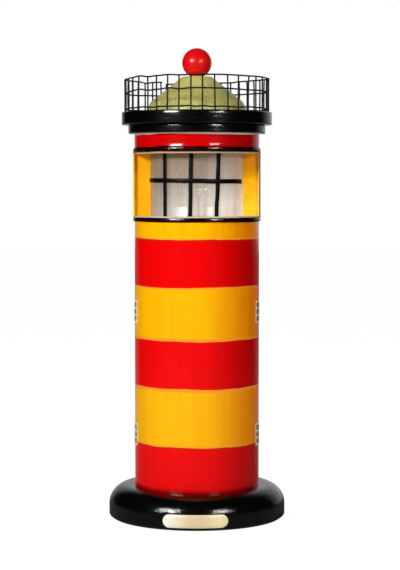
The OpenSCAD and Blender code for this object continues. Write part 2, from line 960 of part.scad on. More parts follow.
module finial_ball() {
    color("red")
        difference() {
            translate([0, 0, ball_z]) sphere(r = ball_r);
            translate([-ball_r, -ball_r, dome_top - 2 * ball_r]) cube(2 * ball_r);
            translate([0, 0, dome_top - over]) cylinder(h = rod_in_ball + over + screw_gap, r = rod_r + glue_gap);
        }
}

module cap_rod() {
    color("silver") translate([0, 0, nut_z]) cylinder(h = dome_top + rod_in_ball - nut_z, r = rod_r);
}

module cap_washer() {
    color("silver") tube_at(nut_top, washer_t, washer_r, rod_r + screw_gap);
}

module cap_nut() {
    color("silver")
        difference() {
            translate([0, 0, nut_z]) cylinder(h = nut_h, r = nut_r, $fn = 6);
            axis_hole(nut_z, nut_h, rod_r + glue_gap);
        }
}

base();
felt_pad();
base_cover();
cover_screws();
cord_grommet();
terminal_block();
terminal_screws();
lamp_lead();
name_plate();
tower_plug();
plug_screws();
tower_tube();
window_frames();
window_panes();
lantern_floor();
lantern_shell();
side_boards();
lantern_glass();
glazing_bars();
glazing_band();
lantern_ceiling();
upper_ring();
holder_cap();
holder_skirt();
holder_core();
holder_rings();
socket_shell();
socket_contact();
bulb_contact();
bulb_insulator();
bulb_cap();
bulb_glass();
bulb_stem();
bulb_filament();
cap_spigot();
cornice();
gallery();
railing_rings();
railing_posts();
dome();
finial_ball();
cap_rod();
cap_washer();
cap_nut();
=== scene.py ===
"""Looks of the striped lighthouse lamp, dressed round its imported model.

Lengths are in metres unless a name ends in _mm. +Z is up and the lamp's front faces -Y.
"""

import json
import logging
import math
import random
from dataclasses import dataclass
from enum import Enum
from typing import Any, Callable, ClassVar, Iterable, Sequence

import bpy
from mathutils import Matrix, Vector

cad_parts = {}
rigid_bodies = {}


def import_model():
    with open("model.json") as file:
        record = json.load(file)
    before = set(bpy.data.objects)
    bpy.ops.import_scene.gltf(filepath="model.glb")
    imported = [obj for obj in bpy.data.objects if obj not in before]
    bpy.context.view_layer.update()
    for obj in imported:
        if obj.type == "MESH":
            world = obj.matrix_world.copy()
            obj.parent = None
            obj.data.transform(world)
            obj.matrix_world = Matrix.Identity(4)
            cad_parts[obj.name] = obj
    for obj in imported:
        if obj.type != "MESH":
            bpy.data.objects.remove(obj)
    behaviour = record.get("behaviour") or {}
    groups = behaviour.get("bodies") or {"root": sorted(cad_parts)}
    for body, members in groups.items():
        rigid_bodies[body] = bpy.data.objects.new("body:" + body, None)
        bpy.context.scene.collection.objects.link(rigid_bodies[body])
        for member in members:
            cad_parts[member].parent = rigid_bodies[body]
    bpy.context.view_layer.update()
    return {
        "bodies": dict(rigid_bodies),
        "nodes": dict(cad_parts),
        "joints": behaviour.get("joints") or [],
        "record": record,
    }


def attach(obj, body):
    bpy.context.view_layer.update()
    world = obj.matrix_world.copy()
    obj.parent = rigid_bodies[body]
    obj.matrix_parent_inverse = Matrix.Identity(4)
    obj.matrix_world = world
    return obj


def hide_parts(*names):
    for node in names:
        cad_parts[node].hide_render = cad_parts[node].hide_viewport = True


LOG = logging.getLogger("lighthouse_lamp")
MM = 0.001
NOISE_REACH = (0.25, 0.75)
STEEP = 0.9

Colour = tuple[float, float, float]
Point = tuple[float, float, float]
Span = tuple[float, float]
Stop = tuple[float, Colour]
Socket = bpy.types.NodeSocket
Layer = tuple[Socket, float]
Skin = tuple[list[Point], list[tuple[int, ...]]]
Wears = dict[str, tuple[str, ...]]


class Body(Enum):
    """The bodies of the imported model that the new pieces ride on."""

    TOWER = "tower"
    CAP = "cap"
    BULB = "bulb"


class Stroke(Enum):
    """Which way a brush or a tool went over a surface, as detail per metre along x, y and z."""

    ROUND = (30.0, 30.0, 900.0)
    LUMPY = (110.0, 110.0, 420.0)
    UP = (700.0, 700.0, 18.0)
    ANY_WAY = (260.0, 260.0, 260.0)


class Graph:
    """A node tree, with short calls that add to it."""

    def __init__(self, tree: bpy.types.NodeTree) -> None:
        """Keep the tree."""
        self.tree = tree

    def feed(self, socket: Socket, value: Any) -> None:
        """Link a socket to another one, or give it a value.

        Args:
            socket: the input to fill.
            value: an output socket, a number or a colour.
        """
        if isinstance(value, Socket):
            self.tree.links.new(value, socket)
        else:
            socket.default_value = value

    def add(self, kind: str, inputs: dict[Any, Any], **settings: Any) -> bpy.types.Node:
        """Add a node.

        Args:
            kind: the node's type.
            inputs: what goes into its sockets, by name or number.
            settings: its own settings.

        Returns:
            The new node.
        """
        node = self.tree.nodes.new(kind)
        for key, value in settings.items():
            setattr(node, key, value)
        for key, value in inputs.items():
            self.feed(node.inputs[key], value)
        return node

    def sum(self, operation: str, first: Any, second: Any = 0.0, third: Any = 0.0) -> Socket:
        """Do arithmetic on up to three sockets or numbers."""
        return self.add("ShaderNodeMath", {0: first, 1: second, 2: third}, operation=operation).outputs[0]

    def spread(self, value: Any, low: float, high: float, a: Any, b: Any) -> Socket:
        """Map a value from low..high to a..b, held at the ends."""
        return self.add("ShaderNodeMapRange", {0: value, 1: low, 2: high, 3: a, 4: b}).outputs[0]

    def choose(self, share: Any, first: Any, second: Any) -> Socket:
        """A number between two, by the share of the second."""
        return self.add("ShaderNodeMix", {0: share, 2: first, 3: second}, data_type="FLOAT").outputs[0]

    def vector(self, operation: str, first: Any, second: Any = (0.0, 0.0, 0.0)) -> bpy.types.Node:
        """Do arithmetic on vectors."""
        return self.add("ShaderNodeVectorMath", {0: first, 1: second}, operation=operation)


class Recipe(Graph):
    """A material in the making, with the place of a point in the lamp's own frame."""

    def __init__(self, name: str, skin: dict[str, Any]) -> None:
        """Start a material.

        Args:
            name: the material's name.
            skin: values for the shader's own sockets, by socket name.
        """
        self.material = bpy.data.materials.new(name)
        self.material.use_nodes = True
        super().__init__(self.material.node_tree)
        self.shader = self.tree.nodes["Principled BSDF"]
        self.place = self.add("ShaderNodeTexCoord", {}).outputs["Object"]
        self.x, self.y, self.height = self.add("ShaderNodeSeparateXYZ", {0: self.place}).outputs
        for socket, value in skin.items():
            self.shader.inputs[socket].default_value = value

    def angle(self) -> Socket:
        """How far round from the front a point is, in radians, +X being positive."""
        return self.sum("ARCTAN2", self.x, self.sum("MULTIPLY", self.y, -1.0))

    def reach(self) -> Socket:
        """How far a point is from the lamp's axis."""
        flat = self.vector("MULTIPLY", self.place, (1.0, 1.0, 0.0)).outputs[0]
        return self.vector("LENGTH", flat).outputs["Value"]

    def grain(self, stretch: Sequence[float], fine: float = 3.0, rough: float = 0.55) -> Socket:
        """Noise in the lamp's frame, drawn out along its directions.

        Args:
            stretch: detail per metre along x, y and z.
            fine: how many finer layers are in it.
            rough: how strong those layers are.

        Returns:
            A socket from 0 to 1.
        """
        scaled = self.vector("MULTIPLY", self.place, tuple(stretch)).outputs[0]
        inputs = {"Vector": scaled, "Scale": 1.0, "Detail": fine, "Roughness": rough}
        return self.add("ShaderNodeTexNoise", inputs).outputs[0]

    def drawn(self, stretch: Sequence[float], sway: float) -> Socket:
        """The height of a point, off by as much as a hand-drawn level line sways."""
        off = self.spread(self.grain(stretch), *NOISE_REACH, -0.5, 0.5)
        return self.sum("MULTIPLY_ADD", off, sway, self.height)

    def ramp(self, value: Any, stops: Sequence[Stop], hard: bool = False) -> Socket:
        """A colour by a value from 0 to 1.

        Args:
            value: what picks the colour.
            stops: places and colours, in rising order.
            hard: whether a colour holds up to the next stop.

        Returns:
            The colour's socket.
        """
        node = self.add("ShaderNodeValToRGB", {0: value})
        band = node.color_ramp
        band.interpolation = "CONSTANT" if hard else "LINEAR"
        band.elements.remove(band.elements[1])
        (band.elements[0].position, first), *others = stops
        band.elements[0].color = (*first, 1.0)
        for spot, colour in others:
            band.elements.new(spot).color = (*colour, 1.0)
        return node.outputs[0]

    def blend(self, share: Any, first: Any, second: Any) -> Socket:
        """A colour between two, by the share of the second; each is a colour or its socket."""
        a, b = (c if isinstance(c, Socket) else (*c, 1.0) for c in (first, second))
        return self.add("ShaderNodeMix", {0: share, 6: a, 7: b}, data_type="RGBA").outputs[2]

    def relief(self, *layers: Layer) -> None:
        """Raise the surface by layers of height.

        Args:
            layers: each a socket from 0 to 1 and the height, in metres, that 1 stands for.
        """
        normal: dict[str, Socket] = {}
        for height, depth in layers:
            inputs = {"Height": height, "Strength": 1.0, "Distance": depth, **normal}
            normal = {"Normal": self.add("ShaderNodeBump", inputs).outputs[0]}
        self.feed(self.shader.inputs["Normal"], normal["Normal"])

    def colour(self, value: Socket) -> None:
        """Colour the shader from a socket."""
        self.feed(self.shader.inputs["Base Color"], value)

    def rough(self, value: Socket) -> None:
        """Drive the shader's roughness from a socket."""
        self.feed(self.shader.inputs["Roughness"], value)


class Brushed(Recipe):
    """A recipe for paint that shows strokes and lumps."""

    def __init__(self, name: str, skin: dict[str, Any], stroke: Stroke, lump_size: float) -> None:
        """Start a paint.

        Args:
            name: the material's name.
            skin: values for the shader's own sockets, by socket name.
            stroke: which way the brush went.
            lump_size: how far apart its lumps are.
        """
        super().__init__(name, skin)
        self.strokes = self.grain(stroke.value, 4.0)
        self.lumps = self.grain((1.0 / lump_size,) * 3, 2.0)


@dataclass(frozen=True)
class BrushPaint:
    """Paint put on by brush: two close tones in its strokes, lumps, and a broken gloss."""

    name: str
    tone: Colour
    second: Colour
    gloss: Span = (0.16, 0.3)
    coat: float = 0.0
    haze: float = 0.32
    level: float = 0.5
    stroke: Stroke = Stroke.ROUND
    stroke_depth: float = 0.03 * MM
    lump_size: float = 2.2 * MM
    lump_depth: float = 0.05 * MM
    second_at: Span = (0.4, 0.65)
    dull_at: Span = (0.35, 0.65)

    def colouring(self, paint: Brushed) -> Socket:
        """The paint's colour: its second tone where the strokes are thick."""
        return paint.blend(paint.spread(paint.strokes, *self.second_at, 0.0, 1.0), self.tone, self.second)

    def shine(self, paint: Brushed) -> Socket:
        """The paint's roughness."""
        return paint.spread(paint.strokes, *self.dull_at, *self.gloss)

    def swell(self, paint: Brushed) -> list[Layer]:
        """Relief under the lumps and strokes: none in plain paint."""
        return []

    def make(self) -> bpy.types.Material:
        """Make the material.

        Returns:
            The material.
        """
        skin = {"Coat Weight": self.coat, "Coat Roughness": self.haze, "Specular IOR Level": self.level}
        paint = Brushed(self.name, skin, self.stroke, self.lump_size)
        paint.colour(self.colouring(paint))
        paint.rough(self.shine(paint))
        paint.relief(
            *self.swell(paint), (paint.lumps, self.lump_depth), (paint.strokes, self.stroke_depth)
        )
        return paint.material


@dataclass(frozen=True)
class DiscPaint(BrushPaint):
    """Gloss paint on turned discs, pooled and eased along their upper edges."""

    edges: tuple[Span, ...] = ((346.3 * MM, 0.6), (357.7 * MM, 1.0))
    ease: float = 3.6 * MM
    margin: float = 0.2 * MM
    pool: float = 0.46 * MM

    def swell(self, paint: Brushed) -> list[Layer]:
        """Ease the discs' upper edges.

        Args:
            paint: the recipe.

        Returns:
            The relief under the lumps.
        """
        drops = []
        for edge, share in self.edges:
            near = paint.spread(paint.height, edge - self.ease, edge, 0.0, share**0.5)
            inside = paint.sum("LESS_THAN", paint.height, edge + self.margin)
            drops.append(paint.sum("MULTIPLY", paint.sum("POWER", near, 2.0), inside))
        return [(paint.sum("SUBTRACT", 1.0, paint.sum("MAXIMUM", *drops)), self.pool)]


@dataclass(frozen=True)
class BasePaint(BrushPaint):
    """Gloss paint that is duller on the base's upper face, where hands and dust wear it."""

    wear: Span = (22.5 * MM, 26.5 * MM)
    worn: Span = (0.17, 0.26)

    def shine(self, paint: Brushed) -> Socket:
        """Dull the gloss towards the upper face.

        Args:
            paint: the recipe.

        Returns:
            The roughness.
        """
        upper = paint.spread(paint.height, *self.wear, 0.0, 1.0)
        keen = super().shine(paint)
        dull = paint.spread(paint.lumps, *self.dull_at, *self.worn)
        extra = paint.sum("MULTIPLY", upper, paint.sum("SUBTRACT", dull, keen))
        return paint.sum("ADD", keen, extra)


@dataclass(frozen=True)
class StripePaint(BrushPaint):
    """The tower's red and yellow rings, with hand-drawn edges, over a bare grey pipe.

    Its tone is the lit red and its second tone the red with painted shade, which darkens the rings towards
    the right; the yellows likewise.
    """

    # Painted shade where the tower meets the base.
    foot_shade_red: Colour = (0.25, 0.0004, 0.001)
    yellow: Colour = (1.0, 0.50, 0.0005)
    shaded_yellow: Colour = (1.0, 0.25, 0.0005)
    salmon: Colour = (1.0, 0.35, 0.024)
    rust: Colour = (0.62, 0.014, 0.0005)
    whitish: Colour = (1.0, 0.88, 0.86)
    rim: Colour = (0.013, 0.0006, 0.0006)
    pipe: Colour = (0.42, 0.43, 0.44)
    ring_tops_mm: tuple[float, ...] = (67.25, 117.2, 159.1, 205.0, 246.2)
    rims_mm: tuple[Span, ...] = ((261.2, 264.5), (320.0, 326.7))
    # How dark the painted shade makes the red above each rim, under the cornice.
    ring_shade_share: float = 0.72
    white_line_mm: float = 337.0
    ramp_from_mm: float = 20.0
    ramp_to_mm: float = 360.0
    line_mm: float = 1.7
    lap_mm: float = 0.2
    rust_mm: float = 0.9
    sway: float = 1.7 * MM
    sway_detail: Point = (22.0, 22.0, 9.0)
    run_detail: Point = (190.0, 190.0, 9.0)
    run_at: Span = (0.4, 0.75)
    run_share: float = 0.25
    thin_at: Span = (0.45, 0.75)
    thin_share: float = 0.12
    shade_x: Span = (10.0 * MM, 51.5 * MM)
    shade_share: float = 0.9
    # foot: the heights over which the painted shade at the tower's foot fades out.
    foot: Span = (28.5 * MM, 32.5 * MM)
    foot_share: float = 0.75
    paint_from: float = 53.5 * MM
    bead_at: Span = (326.7 * MM, 330.6 * MM)
    bead: float = 0.46 * MM

    def stops(self, red: Colour, yellow: Colour) -> list[Stop]:
        """The rings from the foot up, with a thin line where two meet.

        Args:
            red: the red of this layer.
            yellow: the yellow of this layer.

        Returns:
            Stops of a hard ramp over the tower's height.
        """
        found: list[Stop] = [(self.ramp_from_mm, red)]
        for index, top in enumerate(self.ring_tops_mm):
            if index % 2 == 0:
                steps = ((-self.rust_mm, self.rust), (-self.lap_mm, self.salmon), (self.line_mm, yellow))
            else:
                steps = ((-self.line_mm, self.salmon), (self.lap_mm, self.rust), (self.rust_mm, red))
            found += [(top + step, colour) for step, colour in steps]
        for start, end in self.rims_mm:
            # Above each rim the red is darkened as painted shade; above the upper rim it is the shade under
            # the cornice.
            found += [(start, self.rim), (end, tuple(self.ring_shade_share * c for c in red))]
        found.append((self.white_line_mm, self.whitish))
        span = self.ramp_to_mm - self.ramp_from_mm
        return [((height - self.ramp_from_mm) / span, colour) for height, colour in found]

    def colouring(self, paint: Brushed) -> Socket:
        """Paint the rings.

        Args:
            paint: the recipe.

        Returns:
            The colour.
        """
        drawn = paint.drawn(self.sway_detail, self.sway)
        share = paint.spread(drawn, self.ramp_from_mm * MM, self.ramp_to_mm * MM, 0.0, 1.0)
        light = paint.ramp(share, self.stops(self.tone, self.yellow), hard=True)
        deep = paint.ramp(share, self.stops(self.second, self.shaded_yellow), hard=True)
        # Painted shade: the rings take their shaded tones more towards the right, away from the key light.
        side = paint.spread(paint.x, *self.shade_x, 0.0, self.shade_share)
        runs = paint.spread(paint.grain(self.run_detail, 2.0), *self.run_at, 0.0, self.run_share)
        strokes_and_shade = paint.spread(paint.strokes, *self.thin_at, 0.0, self.thin_share)
        strokes_and_shade = paint.sum("ADD", strokes_and_shade, side)
        painted = paint.blend(paint.sum("ADD", strokes_and_shade, runs), light, deep)
        # Painted shade at the tower's foot, dark maroon down to the base.
        painted = paint.blend(paint.spread(drawn, *self.foot, self.foot_share, 0.0), painted, self.foot_shade_red)
        outside = paint.sum("GREATER_THAN", paint.reach(), self.paint_from)
        return paint.blend(outside, self.pipe, painted)

    def swell(self, paint: Brushed) -> list[Layer]:
        """Pool the paint in a bead over the upper rim.

        Args:
            paint: the recipe.

        Returns:
            The relief under the lumps.
        """
        pooled = paint.spread(paint.height, *self.bead_at, 1.0, 0.0)
        above = paint.sum("GREATER_THAN", paint.height, self.bead_at[0])
        return [(paint.sum("MULTIPLY", paint.sum("POWER", pooled, 2.0), above), self.bead)]


@dataclass(frozen=True)
class ShellPaint(BrushPaint):
    """The lantern's thin wall: yellow, with black rims and a black right edge."""

    lit_lemon: Colour = (0.95, 0.68, 0.02)
    black: Colour = (0.009, 0.0006, 0.0006)
    maroon: Colour = (0.034, 0.001, 0.001)
    cream: Colour = (0.90, 0.74, 0.40)
    bare: Colour = (0.60, 0.54, 0.49)
    lit_bare: Colour = (0.95, 0.88, 0.80)
    rims: tuple[Span, Span] = ((261.2 * MM, 265.6 * MM), (322.2 * MM, 326.7 * MM))
    rim_round: float = 0.42 * MM
    bare_angle: Span = (math.radians(97.0), math.radians(104.0))
    bare_x: Span = (-5.0 * MM, 26.0 * MM)
    bare_height: Span = (266.0 * MM, 318.0 * MM)
    inner_face: float = 55.6 * MM
    right_edge: Span = (math.radians(80.0), math.radians(97.0))
    inner_edge_end: float = math.radians(86.0)
    cream_share: float = 0.8
    tone_rise: Span = (0.3, 0.85)
    streak_at: Span = (0.5, 0.75)
    streak_share: float = 0.6
    lit_bare_top: float = 0.35
    maroon_at: Span = (0.5, 0.7)
    sway: float = 0.8 * MM
    sway_detail: Point = (30.0, 30.0, 12.0)

    def wall(self, paint: Brushed, angle: Socket, inside: Socket) -> Socket:
        """The yellow wall, with painted light making it lemon at the foot and painted shade making it
        orange towards the top; bare and grey inside its back, where painted light makes it paler low on the
        right.

        Args:
            paint: the recipe.
            angle: how far round a point is.
            inside: whether it is on the inner face.

        Returns:
            The colour.
        """
        # Painted light and shade by height: lemon at the foot, the orange second tone at the top.
        rise = paint.spread(paint.height, self.rims[0][1], self.rims[1][0], 0.0, 1.0)
        even = [(spot, self.tone) for spot in self.tone_rise]
        shade = paint.ramp(rise, [(0.0, self.lit_lemon), *even, (1.0, self.second)])
        streak = paint.spread(paint.strokes, *self.streak_at, 0.0, self.streak_share)
        yellow = paint.blend(streak, shade, self.second)
        behind = paint.spread(paint.sum("ABSOLUTE", angle), *self.bare_angle, 0.0, 1.0)
        # Painted light on the bare back wall: paler low down and towards the right.
        across = paint.spread(paint.x, *self.bare_x, 0.0, 1.0)
        lower = paint.spread(paint.height, *self.bare_height, 1.0, self.lit_bare_top)
        bare = paint.blend(paint.sum("MULTIPLY", across, lower), self.bare, self.lit_bare)
        return paint.blend(paint.sum("MULTIPLY", behind, inside), yellow, bare)

    def colouring(self, paint: Brushed) -> Socket:
        """Paint the wall, its rims and its right edge.

        Args:
            paint: the recipe.

        Returns:
            The colour.
        """
        angle, reach = paint.angle(), paint.reach()
        inside = paint.sum("LESS_THAN", reach, self.inner_face)
        outside = paint.sum("GREATER_THAN", reach, self.inner_face)
        right = paint.sum("GREATER_THAN", angle, self.right_edge[0])
        near = paint.sum("LESS_THAN", angle, self.right_edge[1])
        stile = paint.sum("MULTIPLY", outside, paint.sum("MULTIPLY", right, near))
        drawn = paint.drawn(self.sway_detail, self.sway)
        low = paint.sum("LESS_THAN", drawn, self.rims[0][1])
        high = paint.sum("GREATER_THAN", drawn, self.rims[1][0])
        rims = paint.sum("MULTIPLY", paint.sum("MAXIMUM", low, high), outside)
        warm = paint.spread(paint.strokes, *self.maroon_at, 0.0, 1.0)
        dark = paint.blend(warm, self.black, self.maroon)
        by_board = paint.sum("LESS_THAN", angle, self.inner_edge_end)
        face = paint.sum("MULTIPLY", paint.sum("MULTIPLY", right, by_board), inside)
        wall = self.wall(paint, angle, inside)
        pale = paint.blend(paint.sum("MULTIPLY", face, self.cream_share), wall, self.cream)
        return paint.blend(paint.sum("MAXIMUM", stile, rims), pale, dark)

    def swell(self, paint: Brushed) -> list[Layer]:
        """Round the two rims.

        Args:
            paint: the recipe.

        Returns:
            The relief under the lumps.
        """
        across = [paint.spread(paint.height, *rim, -1.0, 1.0) for rim in self.rims]
        swell = [paint.sum("SUBTRACT", 1.0, paint.sum("POWER", share, 2.0)) for share in across]
        return [(paint.sum("MAXIMUM", *swell), self.rim_round)]


@dataclass(frozen=True)
class BoardPaint(BrushPaint):
    """Thick yellow paint on the side boards, with painted light making the right board lemon low down and
    painted shade making both orange at the top, under the ceiling.
    """

    lit_lemon: Colour = (0.95, 0.68, 0.02)
    shaded_orange: Colour = (1.0, 0.36, 0.008)
    rise: Span = (266.6 * MM, 321.2 * MM)
    right_at: Point = (0.12, 0.7, 0.95)
    left_hold: float = 0.88
    streak_at: Span = (0.45, 0.7)
    streak_share: float = 0.35

    def colouring(self, paint: Brushed) -> Socket:
        """Paint both boards.

        Args:
            paint: the recipe.

        Returns:
            The colour.
        """
        rise = paint.spread(paint.height, *self.rise, 0.0, 1.0)
        # Painted light and shade: the right board is lemon low down, and both turn orange at the top.
        right = paint.ramp(rise, list(zip(self.right_at, (self.lit_lemon, self.tone, self.shaded_orange))))
        left = paint.ramp(rise, [(0.0, self.tone), (self.left_hold, self.tone), (1.0, self.shaded_orange)])
        shade = paint.blend(paint.sum("GREATER_THAN", paint.x, 0.0), left, right)
        streak = paint.spread(paint.strokes, *self.streak_at, 0.0, self.streak_share)
        return paint.blend(streak, shade, self.second)


@dataclass(frozen=True)
class DomePaint(BrushPaint):
    """Thin olive paint, brushed down the dome and paler at its foot."""

    pale: Colour = (0.68, 0.64, 0.40)
    deep: Colour = (0.30, 0.27, 0.055)
    foot: Span = (354.9 * MM, 359.5 * MM)
    patch_detail: Point = (55.0, 55.0, 30.0)
    patch_at: Span = (0.5, 0.72)
    patch_share: float = 0.6
    foot_share: float = 0.7
    tones_at: tuple[float, float, float, float] = (0.3, 0.45, 0.6, 0.75)

    def colouring(self, paint: Brushed) -> Socket:
        """Paint the dome.

        Args:
            paint: the recipe.

        Returns:
            The colour.
        """
        tones = list(zip(self.tones_at, (self.deep, self.tone, self.second, self.pale)))
        patch = paint.spread(paint.grain(self.patch_detail, 2.0), *self.patch_at, 0.0, self.patch_share)
        body = paint.blend(patch, paint.ramp(paint.strokes, tones), self.deep)
        foot = paint.spread(paint.height, self.foot[1], self.foot[0], 0.0, self.foot_share)
        return paint.blend(paint.sum("MULTIPLY", foot, paint.lumps), body, self.pale)


@dataclass(frozen=True)
class WoodGrain:
    """Sawn and sanded wood, with its grain along X."""

    name: str
    early: Colour
    late: Colour
    roughness: Span = (0.5, 0.75)
    line: Point = (9.0, 260.0, 260.0)
    fibre: Point = (90.0, 2400.0, 2400.0)
    depth: float = 0.05 * MM
    level: float = 0.35
    line_rough: float = 0.6
    line_share: float = 0.65
    fibre_share: float = 0.35
    bands_at: Point = (0.36, 0.5, 0.66)
    dull_at: Span = (0.3, 0.7)

    def make(self) -> bpy.types.Material:
        """Make the material.

        Returns:
            The material.
        """
        recipe = Recipe(self.name, {"Specular IOR Level": self.level})
        lines = recipe.grain(self.line, 4.0, self.line_rough)
        fibres = recipe.grain(self.fibre, 2.0)
        both = recipe.sum("MULTIPLY", lines, self.line_share)
        both = recipe.sum("MULTIPLY_ADD", fibres, self.fibre_share, both)
        recipe.colour(recipe.ramp(both, list(zip(self.bands_at, (self.late, self.early, self.late)))))
        recipe.rough(recipe.spread(fibres, *self.dull_at, *self.roughness))
        recipe.relief((lines, self.depth), (fibres, self.depth / 2))
        return recipe.material


@dataclass(frozen=True)
class FeltPile:
    """Pressed felt: a soft mottled pile with a sheen."""

    name: str
    tone: Colour
    fleck: Colour
    hair: float = 3200.0
    clump: float = 420.0
    depth: float = 0.2 * MM
    roughness: float = 0.95
    sheen: float = 0.5
    level: float = 0.1
    wiry: float = 0.7
    fleck_at: Span = (0.35, 0.7)

    def make(self) -> bpy.types.Material:
        """Make the material.

        Returns:
            The material.
        """
        skin = {"Roughness": self.roughness, "Sheen Weight": self.sheen, "Specular IOR Level": self.level}
        recipe = Recipe(self.name, skin)
        hairs = recipe.grain((self.hair,) * 3, 3.0, self.wiry)
        clumps = recipe.grain((self.clump,) * 3, 2.0)
        flecks = recipe.spread(hairs, *self.fleck_at, 0.0, 1.0)
        recipe.colour(recipe.blend(flecks, self.tone, self.fleck))
        recipe.relief((clumps, self.depth), (hairs, self.depth / 2))
        return recipe.material


@dataclass(frozen=True)
class PressedBoard:
    """Brown fibre board, flecked, with a faint weave pressed into it."""

    name: str
    tone: Colour
    fleck: Colour
    fleck_detail: Point = (380.0, 1300.0, 900.0)
    weave: float = 900.0
    depth: float = 0.04 * MM
    roughness: float = 0.7
    level: float = 0.3
    fleck_rough: float = 0.7
    weave_sway: float = 2.0
    flecks_at: Point = (0.35, 0.5, 0.7)

    def make(self) -> bpy.types.Material:
        """Make the material.

        Returns:
            The material.
        """
        recipe = Recipe(self.name, {"Roughness": self.roughness, "Specular IOR Level": self.level})
        flecks = recipe.grain(self.fleck_detail, 4.0, self.fleck_rough)
        inputs = {"Vector": recipe.place, "Scale": self.weave, "Distortion": self.weave_sway}
        threads = recipe.add("ShaderNodeTexWave", inputs).outputs[1]
        tones = zip(self.flecks_at, (self.fleck, self.tone, self.fleck))
        recipe.colour(recipe.ramp(flecks, list(tones)))
        recipe.relief((threads, self.depth), (flecks, self.depth))
        return recipe.material


@dataclass(frozen=True)
class ToolMetal:
    """Metal with fine tool marks and a duller film in patches."""

    name: str
    tone: Colour
    film: Colour
    roughness: Span = (0.18, 0.38)
    marks: Point = (60.0, 60.0, 3500.0)
    mark_depth: float = 0.006 * MM
    film_size: float = 4.0 * MM
    film_share: float = 0.5
    metal: float = 1.0
    film_at: Span = (0.45, 0.7)
    film_rough: float = 0.65
    dull_at: Span = (0.35, 0.7)

    def colouring(self, recipe: Recipe, marks: Socket, film: Socket) -> Socket:
        """The metal's colour, with the film in patches."""
        share = recipe.spread(film, *self.film_at, 0.0, self.film_share)
        return recipe.blend(share, self.tone, self.film)

    def make(self) -> bpy.types.Material:
        """Make the material.

        Returns:
            The material.
        """
        recipe = Recipe(self.name, {"Metallic": self.metal})
        marks = recipe.grain(self.marks)
        film = recipe.grain((1.0 / self.film_size,) * 3, 4.0, self.film_rough)
        recipe.colour(self.colouring(recipe, marks, film))
        recipe.rough(recipe.spread(film, *self.dull_at, *self.roughness))
        recipe.relief((marks, self.mark_depth), (film, self.mark_depth))
        return recipe.material


@dataclass(frozen=True)
class PlateBrass(ToolMetal):
    """Pale satin brass, whiter at its left end, tan in the middle and its own tone at the right."""

    white: Colour = (1.0, 1.0, 0.88)
    tan: Colour = (0.82, 0.66, 0.38)
    half: float = 28.5 * MM
    unevenness: float = 0.2
    shades_at: tuple[float, float, float, float] = (0.08, 0.42, 0.6, 0.85)
    mark_at: Span = (0.5, 0.8)
    mark_share: float = 0.3

    def colouring(self, recipe: Recipe, marks: Socket, film: Socket) -> Socket:
        """Shade the plate from end to end.

        Args:
            recipe: the recipe.
            marks: the tool marks.
            film: the film.

        Returns:
            The colour.
        """
        along = recipe.spread(recipe.x, -self.half, self.half, 0.0, 1.0)
        uneven = recipe.sum("MULTIPLY_ADD", recipe.sum("SUBTRACT", film, 0.5), self.unevenness, along)
        stops = list(zip(self.shades_at, (self.white, self.tan, self.tan, self.tone)))
        share = recipe.spread(marks, *self.mark_at, 0.0, self.mark_share)
        return recipe.blend(share, recipe.ramp(uneven, stops), self.film)


@dataclass(frozen=True)
class Moulded:
    """Moulded plastic, rubber or ceramic with a fine skin."""

    name: str
    tone: Colour
    second: Colour
    roughness: Span = (0.35, 0.5)
    flow_detail: Point = (90.0, 90.0, 160.0)
    skin_size: float = 0.35 * MM
    depth: float = 0.02 * MM
    second_at: Span = (0.4, 0.65)
    dull_at: Span = (0.35, 0.65)

    def make(self) -> bpy.types.Material:
        """Make the material.

        Returns:
            The material.
        """
        recipe = Recipe(self.name, {})
        skin = recipe.grain((1.0 / self.skin_size,) * 3, 2.0)
        flow = recipe.grain(self.flow_detail)
        share = recipe.spread(flow, *self.second_at, 0.0, 1.0)
        recipe.colour(recipe.blend(share, self.tone, self.second))
        recipe.rough(recipe.spread(flow, *self.dull_at, *self.roughness))
        recipe.relief((flow, self.depth), (skin, self.depth / 2))
        return recipe.material


